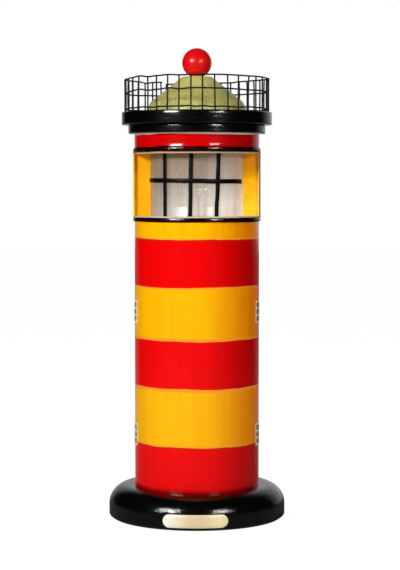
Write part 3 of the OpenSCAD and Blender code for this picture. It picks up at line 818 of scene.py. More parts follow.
@dataclass(frozen=True)
class HazySheet:
    """A rolled sheet of clear plastic, dulled by grime and drawn-out scratches, with painted shade
    darkening it towards the top.

    Its right side is given a faint painted glow, an emission that stands in for light passing through the
    milky sheet from its left side.
    """

    name: str
    # Colours of the painted shade by height, from the dark top to the lit foot.
    top: Colour = (0.38, 0.285, 0.205)
    middle: Colour = (0.52, 0.44, 0.37)
    foot: Colour = (0.86, 0.81, 0.74)
    rose: Colour = (0.62, 0.38, 0.23)
    grime: Colour = (0.30, 0.26, 0.21)
    rise: Span = (266.6 * MM, 321.2 * MM)
    flare_end: float = 274.6 * MM
    flare: float = 1.7 * MM
    cover: Span = (0.28, 0.5)
    cover_most: float = 0.94
    thicker: float = 2.2
    painted_glow: Span = (0.27, 0.13)
    streak_detail: Point = (260.0, 260.0, 9.0)
    smudge_detail: Point = (150.0, 150.0, 70.0)
    streak_depth: float = 0.05 * MM
    smudge_depth: float = 0.06 * MM
    smudge_rough: float = 0.65
    level: float = 0.6
    drift_angle: Span = (-0.8, 0.9)
    drift: float = 0.16
    painted_shade_at: Point = (0.06, 0.5, 0.9)
    rose_angle: Span = (0.45, 1.2)
    rose_share: Span = (0.08, 0.8)
    rose_at: Span = (0.35, 0.7)
    rose_least: float = 0.2
    grime_at: Span = (0.55, 0.8)
    grime_share: float = 0.3
    dull_at: Span = (0.35, 0.7)
    roughness: Span = (0.12, 0.34)
    thicker_angle: Span = (0.2, 0.65)
    cover_at: Span = (0.3, 0.7)
    glow_angle: Span = (0.25, 0.7)

    def painted_shade(self, recipe: Recipe, angle: Socket) -> Socket:
        """Painted shade by height: darker towards the top, under the rim, and paler at the foot, where
        painted light reaches higher on the right.

        Args:
            recipe: the recipe.
            angle: how far round a point is.

        Returns:
            The colour.
        """
        rise = recipe.spread(recipe.height, *self.rise, 0.0, 1.0)
        drop = recipe.sum("SUBTRACT", rise, recipe.spread(angle, *self.drift_angle, 0.0, self.drift))
        return recipe.ramp(drop, list(zip(self.painted_shade_at, (self.foot, self.middle, self.top))))

    def make(self) -> bpy.types.Material:
        """Make the material.

        Returns:
            The material.
        """
        recipe = Recipe(self.name, {"Specular IOR Level": self.level})
        streaks = recipe.grain(self.streak_detail, 2.0)
        smudge = recipe.grain(self.smudge_detail, 4.0, self.smudge_rough)
        angle = recipe.angle()
        painted_shade = self.painted_shade(recipe, angle)
        edge = recipe.spread(recipe.sum("ABSOLUTE", angle), *self.rose_angle, *self.rose_share)
        share = recipe.sum("MULTIPLY", recipe.spread(streaks, *self.rose_at, self.rose_least, 1.0), edge)
        streaked = recipe.blend(share, painted_shade, self.rose)
        grimy = recipe.spread(smudge, *self.grime_at, 0.0, self.grime_share)
        recipe.colour(recipe.blend(grimy, streaked, self.grime))
        recipe.rough(recipe.spread(smudge, *self.dull_at, *self.roughness))
        thicker = recipe.spread(angle, *self.thicker_angle, 1.0, self.thicker)
        cover = recipe.sum("MULTIPLY", recipe.spread(streaks, *self.cover_at, *self.cover), thicker)
        recipe.feed(recipe.shader.inputs["Alpha"], recipe.sum("MINIMUM", cover, self.cover_most))
        # Painted glow: the right side emits the shaded colour, more strongly low down.
        beyond = recipe.spread(angle, *self.glow_angle, 0.0, 1.0)
        faint = recipe.spread(recipe.height, *self.rise, *self.painted_glow)
        recipe.feed(recipe.shader.inputs["Emission Color"], painted_shade)
        recipe.feed(recipe.shader.inputs["Emission Strength"], recipe.sum("MULTIPLY", beyond, faint))
        foot = recipe.spread(recipe.height, self.rise[0], self.flare_end, 1.0, 0.0)
        recipe.relief((foot, self.flare), (streaks, self.streak_depth), (smudge, self.smudge_depth))
        return recipe.material


@dataclass(frozen=True)
class BlownGlass:
    """Clear blown glass with faint waves."""

    name: str
    tone: Colour = (0.98, 0.985, 0.98)
    second: Colour = (0.93, 0.95, 0.94)
    wave_detail: Point = (60.0, 60.0, 40.0)
    depth: float = 0.05 * MM
    roughness: float = 0.02
    index: float = 1.46

    def make(self) -> bpy.types.Material:
        """Make the material.

        Returns:
            The material.
        """
        skin = {"Transmission Weight": 1.0, "Roughness": self.roughness, "IOR": self.index}
        recipe = Recipe(self.name, skin)
        waves = recipe.grain(self.wave_detail, 2.0)
        recipe.colour(recipe.blend(waves, self.tone, self.second))
        recipe.relief((waves, self.depth))
        return recipe.material


BLACKS: tuple[Colour, Colour] = ((0.0006, 0.0008, 0.001), (0.0022, 0.0016, 0.0012))

FINISHES: dict[str, Any] = {
    "black_base": BasePaint(
        "black_gloss_base", *BLACKS, gloss=(0.03, 0.08), coat=0.12, level=0.6, stroke=Stroke.LUMPY,
        stroke_depth=0.28 * MM, lump_size=1.2 * MM, lump_depth=0.12 * MM,
    ),
    "black_discs": DiscPaint(
        "black_gloss_discs", *BLACKS, gloss=(0.08, 0.16), coat=0.14, stroke=Stroke.LUMPY,
        stroke_depth=0.16 * MM, lump_size=2.0 * MM,
    ),
    "felt": FeltPile("green_felt", (0.02, 0.09, 0.05), (0.05, 0.16, 0.09)),
    "board": PressedBoard("fibre_board", (0.20, 0.11, 0.055), (0.12, 0.065, 0.03)),
    "steel": ToolMetal("zinc_steel", (0.62, 0.63, 0.65), (0.34, 0.34, 0.33)),
    "brass": ToolMetal("plain_brass", (0.80, 0.58, 0.22), (0.45, 0.30, 0.10)),
    "rubber": Moulded("black_rubber", (0.012, 0.012, 0.012), (0.02, 0.02, 0.019), (0.6, 0.8)),
    "terminal_plastic": Moulded("cream_block", (0.72, 0.66, 0.52), (0.66, 0.60, 0.46)),
    "lead_sheath": Moulded("clear_brown_sheath", (0.28, 0.20, 0.10), (0.22, 0.15, 0.07)),
    "plate_brass": PlateBrass(
        "pale_brass_plate", (1.0, 0.88, 0.52), (0.70, 0.55, 0.30), roughness=(0.38, 0.55),
        marks=(120.0, 120.0, 3200.0), film_size=9.0 * MM, metal=0.1,
    ),
    "bare_wood": WoodGrain("bare_plywood", (0.62, 0.43, 0.24), (0.42, 0.26, 0.13)),
    "tower_paint": StripePaint(
        "red_and_yellow_rings", (0.88, 0.0006, 0.0012), (0.58, 0.0004, 0.001), gloss=(0.1, 0.16),
        level=0.36, stroke_depth=0.006 * MM, lump_size=6.0 * MM, lump_depth=0.1 * MM,
    ),
    "frame_paint": BrushPaint("cream_frames", (1.0, 0.92, 0.74), (0.95, 0.85, 0.64), (0.35, 0.5)),
    "pane_paint": BrushPaint(
        "dark_panes", (0.008, 0.005, 0.004), (0.014, 0.009, 0.006), (0.3, 0.45), level=0.0
    ),
    "shell_paint": ShellPaint(
        "yellow_shell", (0.97, 0.50, 0.002), (0.90, 0.27, 0.002), gloss=(0.06, 0.16), level=0.45,
        stroke=Stroke.LUMPY, stroke_depth=0.3 * MM, lump_size=1.8 * MM, lump_depth=0.1 * MM,
    ),
    "side_boards": BoardPaint(
        "yellow_boards", (1.0, 0.45, 0.001), (0.95, 0.34, 0.001), gloss=(0.14, 0.28), level=0.3,
        stroke=Stroke.LUMPY, stroke_depth=0.2 * MM, lump_size=1.8 * MM, lump_depth=0.08 * MM,
    ),
    "cream_wood": WoodGrain("cream_painted_wood", (0.78, 0.64, 0.40), (0.66, 0.50, 0.28), (0.4, 0.6)),
    "floor_wood": WoodGrain("pale_painted_wood", (0.72, 0.64, 0.52), (0.60, 0.50, 0.38), (0.4, 0.6)),
    "clear_sheet": HazySheet("hazy_sheet"),
    "black_tape": BrushPaint(
        "black_glazing_bars", (0.0012, 0.0012, 0.0014), (0.003, 0.003, 0.003), gloss=(0.32, 0.5),
        stroke=Stroke.UP, level=0.15,
    ),
    "holder_black": Moulded("black_bakelite", (0.010, 0.009, 0.008), (0.018, 0.014, 0.011), (0.2, 0.32)),
    "holder_white": Moulded("white_ceramic", (0.78, 0.77, 0.72), (0.70, 0.68, 0.62), (0.15, 0.3)),
    "bulb_metal": ToolMetal("bulb_cap_metal", (0.74, 0.71, 0.64), (0.46, 0.41, 0.33)),
    "bulb_black": Moulded("black_cap_glass", (0.008, 0.007, 0.012), (0.014, 0.012, 0.02), (0.08, 0.16)),
    "bulb_clear": BlownGlass("blown_bulb_glass"),
    "tungsten": ToolMetal("filament_wire", (0.34, 0.32, 0.30), (0.20, 0.18, 0.17)),
    "railing_black": BrushPaint(
        "black_wire", (0.006, 0.006, 0.007), (0.02, 0.018, 0.017), gloss=(0.3, 0.5), level=0.2,
        stroke=Stroke.ANY_WAY, lump_size=0.9 * MM, lump_depth=0.06 * MM,
    ),
    "dome_paint": DomePaint(
        "olive_dome", (0.60, 0.56, 0.15), (0.70, 0.65, 0.20), gloss=(0.28, 0.45), stroke=Stroke.UP,
        lump_size=6.0 * MM, lump_depth=0.25 * MM,
    ),
    "ball_paint": BrushPaint(
        "red_ball", (0.84, 0.002, 0.004), (0.72, 0.001, 0.003), gloss=(0.24, 0.3), level=0.42,
        stroke=Stroke.ANY_WAY, stroke_depth=0.006 * MM, lump_size=7.0 * MM, lump_depth=0.02 * MM,
    ),
}  # fmt: skip


class PaintShop:
    """Makes each finish once and puts it on pieces and nodes."""

    def __init__(self, frame: dict[str, Any]) -> None:
        """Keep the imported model, and no material yet."""
        self.frame = frame
        self.made: dict[str, bpy.types.Material] = {}

    def material(self, finish: str) -> bpy.types.Material:
        """The material of a finish, made when it is first asked for.

        Args:
            finish: the finish's name.

        Returns:
            The material.
        """
        if finish not in self.made:
            self.made[finish] = FINISHES[finish].make()
        return self.made[finish]

    def dress_nodes(self, finish: str, *nodes: str) -> None:
        """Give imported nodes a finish.

        Args:
            finish: the finish's name.
            nodes: the nodes' names.
        """
        for node in nodes:
            for holder in self.frame["nodes"][node].material_slots:
                holder.material = self.material(finish)
            LOG.info("%s wears %s", node, finish)

    def dress_piece(self, piece: bpy.types.Object, slot: str, body: Body, *nodes: str) -> None:
        """Finish a new piece and put it on its body in place of its nodes.

        Args:
            piece: the new piece.
            slot: the record's slot name, which is its finish's name too.
            body: the body that it rides on.
            nodes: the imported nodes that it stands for.
        """
        piece.data.materials.append(self.material(slot))
        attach(piece, body.value)
        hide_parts(*nodes)
        LOG.info("%s stands for %s", piece.name, ", ".join(nodes))


def mesh_piece(name: str, points: Sequence[Point], faces: Sequence[Sequence[int]]) -> bpy.types.Object:
    """Link a new smooth mesh object.

    Args:
        name: the piece's name.
        points: its vertices.
        faces: its faces.

    Returns:
        The object.
    """
    mesh = bpy.data.meshes.new(name)
    mesh.from_pydata([tuple(p) for p in points], [], [tuple(f) for f in faces])
    mesh.validate()
    mesh.polygons.foreach_set("use_smooth", [True] * len(mesh.polygons))
    piece = bpy.data.objects.new(name, mesh)
    bpy.context.scene.collection.objects.link(piece)
    return piece


def on_cylinder(radius: float, angle: float, height: float) -> Point:
    """A point on an upright cylinder round the lamp's axis, its angle in radians from the front."""
    return (radius * math.sin(angle), -radius * math.cos(angle), height)


def eased(share: float) -> float:
    """A share from 0 to 1, slow at both ends."""
    return share * share * (3.0 - 2.0 * share)


def swept(rows: Sequence[Sequence[Point]], closed: bool) -> Skin:
    """Skin a row of closed sections.

    Args:
        rows: the sections, each with the same number of points.
        closed: whether the last section joins the first; otherwise both ends are capped.

    Returns:
        The points and the faces.
    """
    count = len(rows[0])
    points = [p for row in rows for p in row]
    faces: list[tuple[int, ...]] = []
    for index in range(len(rows) if closed else len(rows) - 1):
        here, there = index * count, (index + 1) % len(rows) * count
        for k in range(count):
            after = (k + 1) % count
            faces.append((here + k, here + after, there + after, there + k))
    if not closed:
        faces.append(tuple(reversed(range(count))))
        last = (len(rows) - 1) * count
        faces.append(tuple(range(last, last + count)))
    return points, faces


def wire(path: Sequence[Vector], radius: float, sides: int) -> Skin:
    """Skin an open wire.

    Args:
        path: the wire's line.
        radius: its radius.
        sides: points of each section.

    Returns:
        The points and the faces.
    """
    rows: list[list[Point]] = []
    up, east = Vector((0.0, 0.0, 1.0)), Vector((1.0, 0.0, 0.0))
    side = up
    turns = [2.0 * math.pi * k / sides for k in range(sides)]
    for index, here in enumerate(path):
        along = (path[min(index + 1, len(path) - 1)] - path[max(index - 1, 0)]).normalized()
        steep = abs(along.z) >= STEEP
        side = east if steep else (side - along * side.dot(along)).normalized()
        side = (side - along * side.dot(along)).normalized()
        other = along.cross(side)
        rows.append([tuple(here + (side * math.cos(t) + other * math.sin(t)) * radius) for t in turns])
        if steep:
            side = up
    return swept(rows, closed=False)


def joined(name: str, parts: Iterable[Skin]) -> bpy.types.Object:
    """One piece from several skinned parts.

    Args:
        name: the piece's name.
        parts: points and faces of each part.

    Returns:
        The object.
    """
    points: list[Point] = []
    faces: list[tuple[int, ...]] = []
    for more_points, more_faces in parts:
        first = len(points)
        points += more_points
        faces += [tuple(first + k for k in face) for face in more_faces]
    return mesh_piece(name, points, faces)


def between(table: Sequence[Span], spot: float) -> float:
    """Read a table of places and values at any place.

    Args:
        table: places in rising order, each with a value.
        spot: where it is read.

    Returns:
        The value, drawn smoothly between its neighbours.
    """
    if spot <= table[0][0]:
        return table[0][1]
    for (a, va), (b, vb) in zip(table, table[1:]):
        if spot <= b:
            return va + (vb - va) * eased((spot - a) / (b - a))
    return table[-1][1]


@dataclass
class Studio:
    """The camera, the white sweep and the soft boxes."""

    distance: float = 1.552
    eye: float = 0.29577
    azimuth: float = math.radians(1.3)
    yaw: float = math.radians(0.1012)
    pitch: float = math.radians(3.339)
    focal_px: float = 1754.4
    long_side_px: float = 570.0
    sensor_mm: float = 36.0
    clip: Span = (0.05, 60.0)
    ambient: float = 0.17
    room_lean: float = 0.2
    room_edge: Span = (0.69, 1.02)
    room_tone: Span = (0.004, 0.74)
    floor_half: float = 6.0
    paper: float = 0.8
    glow: float = 1.2
    glow_share: float = 0.8
    gloss_bearing: Span = (0.6, 1.0)
    gloss_reach: Span = (0.35, 1.6)
    gloss_front: Span = (0.17, 0.04)
    gloss_back: float = 1.0
    box_away: float = 1.9
    box_aim: float = 0.2
    key: tuple[Span, Span, float] = ((-37.8, 21.5), (20.0, 9.0), 40.0)
    fill: tuple[Span, Span, float] = ((34.5, 18.0), (14.5, 7.0), 28.5)
    clear: tuple[str, ...] = ("lantern_glass",)

    def camera(self) -> None:
        """Set the camera where the photograph was taken."""
        data = bpy.data.cameras.new("photo_camera")
        data.sensor_fit = "AUTO"
        data.sensor_width = self.sensor_mm
        data.lens = self.focal_px * self.sensor_mm / self.long_side_px
        data.clip_start, data.clip_end = self.clip
        view = bpy.data.objects.new("photo_camera", data)
        view.location = on_cylinder(self.distance, self.azimuth, self.eye)
        view.rotation_euler = (math.pi / 2.0 - self.pitch, 0.0, self.azimuth - self.yaw)
        bpy.context.scene.collection.objects.link(view)
        bpy.context.scene.camera = view
        bpy.context.scene.view_settings.view_transform = "Standard"

    def soft_box(self, name: str, at: Span, size: Span, level: float) -> None:
        """Hang a lit panel that faces the lamp.

        Args:
            name: the light's name.
            at: its degrees round from the front, +X positive, and above the lamp's middle.
            size: its width and height as seen from the lamp, in degrees.
            level: how bright the panel itself is.
        """
        aim = Vector((0.0, 0.0, self.box_aim))
        a, e = (math.radians(degrees) for degrees in at)
        data = bpy.data.lights.new(name, "AREA")
        data.shape = "RECTANGLE"
        data.size, data.size_y = (2.0 * self.box_away * math.tan(math.radians(s) / 2.0) for s in size)
        data.energy = level * math.pi * data.size * data.size_y
        panel = bpy.data.objects.new(name, data)
        back = Vector(on_cylinder(math.cos(e), a, math.sin(e)))
        panel.location = aim + back * self.box_away
        panel.rotation_euler = back.to_track_quat("Z", "Y").to_euler()
        bpy.context.scene.collection.objects.link(panel)
        clear = bpy.data.collections.new(f"{name}_passes")
        for sheet in self.clear:
            clear.objects.link(bpy.data.objects[sheet])
        for entry in clear.collection_objects:
            entry.light_linking.link_state = "EXCLUDE"
        panel.light_linking.blocker_collection = clear

    def world(self) -> None:
        """White behind everything, and a room that is dark in front for the gloss to show."""
        world = bpy.data.worlds.new("studio")
        bpy.context.scene.world = world
        world.use_nodes = True
        graph = Graph(world.node_tree)
        path = graph.add("ShaderNodeLightPath", {}).outputs
        place = graph.add("ShaderNodeTexCoord", {}).outputs["Generated"]
        x, y, _ = graph.add("ShaderNodeSeparateXYZ", {0: place}).outputs
        side = graph.sum("MULTIPLY_ADD", x, self.room_lean, y)
        room = graph.spread(side, *self.room_edge, *self.room_tone)
        lit = graph.choose(path["Is Glossy Ray"], self.ambient, room)
        seen = graph.sum("MAXIMUM", path["Is Camera Ray"], path["Is Transmission Ray"])
        ground = world.node_tree.nodes["Background"].inputs
        graph.feed(ground["Color"], (1.0, 1.0, 1.0, 1.0))
        graph.feed(ground["Strength"], graph.choose(seen, lit, 1.0))

    def floor(self) -> None:
        """Lay the white sweep, which keeps a little of the lamp's shadow.

        In gloss it shows as a dim floor in front of the lamp and a white one behind it.
        """
        half = self.floor_half
        corners = [(-half, -half, 0.0), (half, -half, 0.0), (half, half, 0.0), (-half, half, 0.0)]
        sweep = mesh_piece("sweep", corners, [(0, 1, 2, 3)])
        paper = bpy.data.materials.new("white_paper")
        paper.use_nodes = True
        paper.node_tree.nodes.clear()
        graph = Graph(paper.node_tree)
        path = graph.add("ShaderNodeLightPath", {}).outputs
        place = graph.add("ShaderNodeTexCoord", {}).outputs["Object"]
        front = graph.spread(
            graph.vector("LENGTH", place).outputs["Value"], *self.gloss_reach, *self.gloss_front
        )
        bearing = graph.vector("NORMALIZE", place).outputs[0]
        _, y, _ = graph.add("ShaderNodeSeparateXYZ", {0: bearing}).outputs
        gloss = graph.spread(y, *self.gloss_bearing, front, self.gloss_back)
        tone = graph.spread(path["Is Glossy Ray"], 0.0, 1.0, self.paper, gloss)
        matt = graph.add("ShaderNodeBsdfDiffuse", {"Color": tone}).outputs[0]
        glow = graph.add("ShaderNodeEmission", {"Strength": self.glow}).outputs[0]
        share = graph.sum("MULTIPLY", path["Is Camera Ray"], self.glow_share)
        mix = graph.add("ShaderNodeMixShader", {0: share, 1: matt, 2: glow}).outputs[0]
        graph.add("ShaderNodeOutputMaterial", {"Surface": mix})
        sweep.data.materials.append(paper)

    def build(self) -> None:
        """Set the whole studio."""
        self.camera()
        self.world()
        self.floor()
        self.soft_box("key_box", *self.key)
        self.soft_box("fill_box", *self.fill)
        LOG.info("studio is set")


@dataclass
class Assembly:
    """A sub-assembly of the lamp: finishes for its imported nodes, and new pieces where it has them."""

    wears: ClassVar[Wears] = {}

    def dress(self, shop: PaintShop) -> None:
        """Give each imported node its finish."""
        for finish, nodes in self.wears.items():
            shop.dress_nodes(finish, *nodes)

    def build(self, shop: PaintShop) -> None:
        """Dress the nodes, with no new piece."""
        self.dress(shop)


@dataclass
class BaseTurning(Assembly):
    """The black foot with its felt, cover, cord inlet and bare name plate."""

    wears: ClassVar[Wears] = {
        "black_base": ("base",),
        "felt": ("felt_pad",),
        "board": ("base_cover",),
        "steel": ("cover_screws", "plug_screws"),
        "rubber": ("cord_grommet",),
    }
    plate_reach: float = 78.06 * MM
    plate_thick: float = 0.72 * MM
    plate_height: float = 8.6 * MM
    plate_from: float = -27.9 * MM
    plate_long: float = 56.6 * MM
    plate_high: float = 11.4 * MM
    left_round: float = 5.6 * MM
    right_cut: float = 5.9 * MM
    right_bends: Span = (5.5 * MM, 5.3 * MM)
    edge_soft: float = 0.22 * MM
    end_steps: int = 10
    flat_steps: int = 26
    face_rows: Point = (0.3, 0.5, 0.7)

    def plate_half_height(self, along: float) -> Span:
        """How far the plate reaches down and up at a place along it.

        Args:
            along: the place, from the plate's middle.

        Returns:
            Its lower and upper edge, from its middle line.
        """
        half, end = self.plate_high / 2.0, self.plate_long / 2.0
        if along < -end + self.left_round:
            run = min(self.left_round, -end + self.left_round - along)
            rise = half - self.left_round + math.sqrt(max(self.left_round**2 - run**2, 0.0))
            return -rise, rise
        over = max(0.0, along - (end - self.right_cut)) / self.right_cut
        bend = 1.0 - math.sqrt(max(0.0, 1.0 - over**2.0))
        return -half + self.right_bends[0] * bend, half - self.right_bends[1] * bend

    def plate(self) -> bpy.types.Object:
        """Cut and bend the bare plate.

        Returns:
            The plate.
        """
        end = self.plate_long / 2.0
        flat = self.plate_long - self.left_round - self.right_cut
        rounds = [1.0 - math.cos(math.pi * k / (2.0 * self.end_steps)) for k in range(1, self.end_steps)]
        spots = [-end + share * self.left_round for share in rounds]
        spots += [-end + self.left_round + flat * k / self.flat_steps for k in range(self.flat_steps + 1)]
        spots += [end - share * self.right_cut for share in rounds]
        rows: list[list[Point]] = []
        for along in sorted(set(spots)):
            low, high = self.plate_half_height(along)
            angle = (along + self.plate_from + end) / self.plate_reach
            soft = min(self.edge_soft, (high - low) / 4.0)
            face = self.plate_reach + self.plate_thick
            outline = [(self.plate_reach, low), (face - soft, low), (face, low + soft)]
            outline += [(face, low + (high - low) * t) for t in self.face_rows]
            outline += [(face, high - soft), (face - soft, high), (self.plate_reach, high)]
            rows.append([on_cylinder(r, angle, self.plate_height + z) for r, z in outline])
        return mesh_piece("bare_name_plate", *swept(rows, closed=False))

    def build(self, shop: PaintShop) -> None:
        """Dress the foot and its new plate."""
        self.dress(shop)
        shop.dress_piece(self.plate(), "plate_brass", Body.TOWER, "name_plate")


@dataclass
class Tower(Assembly):
    """The painted pipe with its side windows, its plug and its wiring."""

    wears: ClassVar[Wears] = {
        "tower_paint": ("tower_tube", "upper_ring"),
        "frame_paint": ("window_frames",),
        "pane_paint": ("window_panes",),
        "bare_wood": ("tower_plug",),
        "terminal_plastic": ("terminal_block",),
        "brass": ("terminal_screws",),
        "lead_sheath": ("lamp_lead",),
    }


@dataclass
class LanternRoom(Assembly):
    """The cut-away wall with its side boards, its floor and its ceiling."""

    wears: ClassVar[Wears] = {
        "shell_paint": ("lantern_shell",),
        "side_boards": ("side_boards",),
        "floor_wood": ("lantern_floor",),
        "cream_wood": ("lantern_ceiling",),
    }


@dataclass
class Glazing(Assembly):
    """The rolled sheet with its hand-cut bars."""

    wears: ClassVar[Wears] = {"clear_sheet": ("lantern_glass",)}
    face: float = 41.06 * MM
    thick: float = 0.58 * MM
    edge_share: float = 0.4
    foot: float = 266.75 * MM
    head: float = 321.05 * MM
    # each bar: degrees round at its top and at its foot, then its width in mm at both
    bars: tuple[tuple[float, float, float, float], ...] = (
        (-41.1, -40.7, 4.0, 3.85),
        (-5.4, -7.0, 3.6, 3.4),
        (28.5, 25.5, 3.8, 3.6),
    )
    bar_drift_mm: float = 0.16
    bar_waver: float = 0.4
    bar_seed: int = 11
    bar_bends: int = 6
    band_face: float = 41.66 * MM
    band_thick: float = 0.56 * MM
    band_ends: Span = (math.radians(-79.8), math.radians(69.8))
    band_left: float = 297.9 * MM
    band_right: float = 296.7 * MM
    band_width: float = 3.7 * MM
    band_drift_mm: float = 0.14
    band_waver: float = 0.5
    band_seed: int = 5
    band_bends: int = 9
    band_end: float = 0.1
    band_swell: float = 0.12
    steps: int = 36

    def drift(self, dice: random.Random, bends: int, most_mm: float) -> list[Span]:
        """A table of small offsets along a strip, its places from 0 to 1."""
        return [(k / bends, dice.uniform(-most_mm, most_mm) * MM) for k in range(bends + 1)]

    def section(self, angle: float, height: float, half: float, across: bool) -> list[Point]:
        """A soft-edged section of a strip on the sheet.

        Args:
            angle: the section's middle, round from the front.
            height: its middle's height.
            half: half the strip's width.
            across: whether the strip is a bar, whose width runs round the sheet and not up it.

        Returns:
            The section's points.
        """
        face, thick = (self.face, self.thick) if across else (self.band_face, self.band_thick)
        soft = thick * self.edge_share
        outline = [(-half, 0.0), (-half, thick - soft), (-half + soft, thick), (0.0, thick)]
        outline += [(half - soft, thick), (half, thick - soft), (half, 0.0)]
        if across:
            return [on_cylinder(face + out, angle + side / face, height) for side, out in outline]
        return [on_cylinder(face + out, angle, height + side) for side, out in outline]

    def upright_bars(self) -> bpy.types.Object:
        """Cut the three upright bars, each a little tapered and unsteady.

        Returns:
            The bars as one piece.
        """
        dice = random.Random(self.bar_seed)
        parts = []
        for top, low, wide_top, wide_low in self.bars:
            table = self.drift(dice, self.bar_bends, self.bar_drift_mm)
            rows = []
            for k in range(self.steps + 1):
                share = k / self.steps
                angle = math.radians(low + (top - low) * share) + between(table, share) / self.face
                half = (wide_low + (wide_top - wide_low) * share) * MM / 2.0
                half += between(table, 1.0 - share) * self.bar_waver
                rows.append(self.section(angle, self.foot + (self.head - self.foot) * share, half, True))
            parts.append(swept(rows, closed=False))
        return joined("upright_glazing_bars", parts)

    def level_band(self) -> bpy.types.Object:
        """Cut the level band, which slopes a little and is thicker at its ends.

        Returns:
            The band.
        """
        dice = random.Random(self.band_seed)
        table = self.drift(dice, self.band_bends, self.band_drift_mm)
        rows = []
        for k in range(self.steps * 2 + 1):
            share = k / (self.steps * 2)
            angle = self.band_ends[0] + (self.band_ends[1] - self.band_ends[0]) * share
            height = self.band_left + (self.band_right - self.band_left) * share + between(table, share)
            end = max(0.0, abs(2.0 * share - 1.0) - (1.0 - self.band_end)) / self.band_end
            half = self.band_width / 2.0 * (1.0 + self.band_swell * end)
            half += between(table, 1.0 - share) * self.band_waver
            rows.append(self.section(angle, height, half, False))
        return mesh_piece("level_glazing_band", *swept(rows, closed=False))

    def build(self, shop: PaintShop) -> None:
        """Dress the sheet and its new bars.

        Args:
            shop: where the finishes come from.
        """
        self.dress(shop)
        shop.dress_piece(self.upright_bars(), "black_tape", Body.TOWER, "glazing_bars")
        shop.dress_piece(self.level_band(), "black_tape", Body.TOWER, "glazing_band")


@dataclass
class Lampholder(Assembly):
    """The small screw lampholder in the lantern's floor."""

    wears: ClassVar[Wears] = {
        "holder_black": ("holder_cap", "holder_skirt", "holder_rings"),
        "holder_white": ("holder_core",),
        "brass": ("socket_shell", "socket_contact"),
    }


@dataclass
class Bulb(Assembly):
    """The round clear bulb with its rolled screw cap."""

    wears: ClassVar[Wears] = {
        "bulb_clear": ("bulb_glass", "bulb_stem"),
        "tungsten": ("bulb_filament",),
        "bulb_black": ("bulb_insulator",),
        "bulb_metal": ("bulb_contact",),
    }
    pitch: float = 2.82 * MM
    crest: float = 6.92 * MM
    root: float = 6.36 * MM
    wall: float = 0.35 * MM
    foot: float = 241.25 * MM
    thread_end: float = 258.6 * MM
    thread_fade: float = 1.2 * MM
    flare_start: float = 261.2 * MM
    flare_end: float = 264.2 * MM
    flare_reach: float = 8.5 * MM
    round_steps: int = 48
    rows_up: int = 90

    def cap_reach(self, height: float, angle: float) -> float:
        """How far the cap's outer skin is from the axis.

        Args:
            height: the place's height.
            angle: how far round it is, in radians.

        Returns:
            The distance.
        """
        mean, swing = (self.crest + self.root) / 2.0, (self.crest - self.root) / 2.0
        if height >= self.flare_start:
            return self.flare_reach
        if height > self.thread_end:
            share = (height - self.thread_end) / (self.flare_start - self.thread_end)
            return mean + (self.flare_reach - mean) * eased(share)
        inside = min(height - self.foot, self.thread_end - height) / self.thread_fade
        turn = 2.0 * math.pi * height / self.pitch - angle
        return mean + swing * math.cos(turn) * max(min(1.0, inside), 0.0)

    def screw_cap(self) -> bpy.types.Object:
        """Roll the cap with its screw thread.

        Returns:
            The cap.
        """
        rise = self.flare_end - self.foot
        heights = [self.foot + rise * k / self.rows_up for k in range(self.rows_up + 1)]
        turns = [2.0 * math.pi * k / self.round_steps for k in range(self.round_steps)]
        rows: list[list[Point]] = []
        for wall, levels in ((0.0, heights), (self.wall, reversed(heights))):
            rows += [[on_cylinder(self.cap_reach(z, t) - wall, t, z) for t in turns] for z in levels]
        return mesh_piece("screw_cap", *swept(rows, closed=True))

    def build(self, shop: PaintShop) -> None:
        """Dress the bulb and its new cap."""
        self.dress(shop)
        shop.dress_piece(self.screw_cap(), "bulb_metal", Body.BULB, "bulb_cap")


@dataclass
class RoofPiece(Assembly):
    """The lift-off roof: spigot, discs, dome, ball and the rod through them."""

    wears: ClassVar[Wears] = {
        "black_discs": ("cornice", "gallery"),
        "bare_wood": ("cap_spigot",),
        "dome_paint": ("dome",),
        "ball_paint": ("finial_ball",),
        "steel": ("cap_rod", "cap_washer", "cap_nut"),
    }


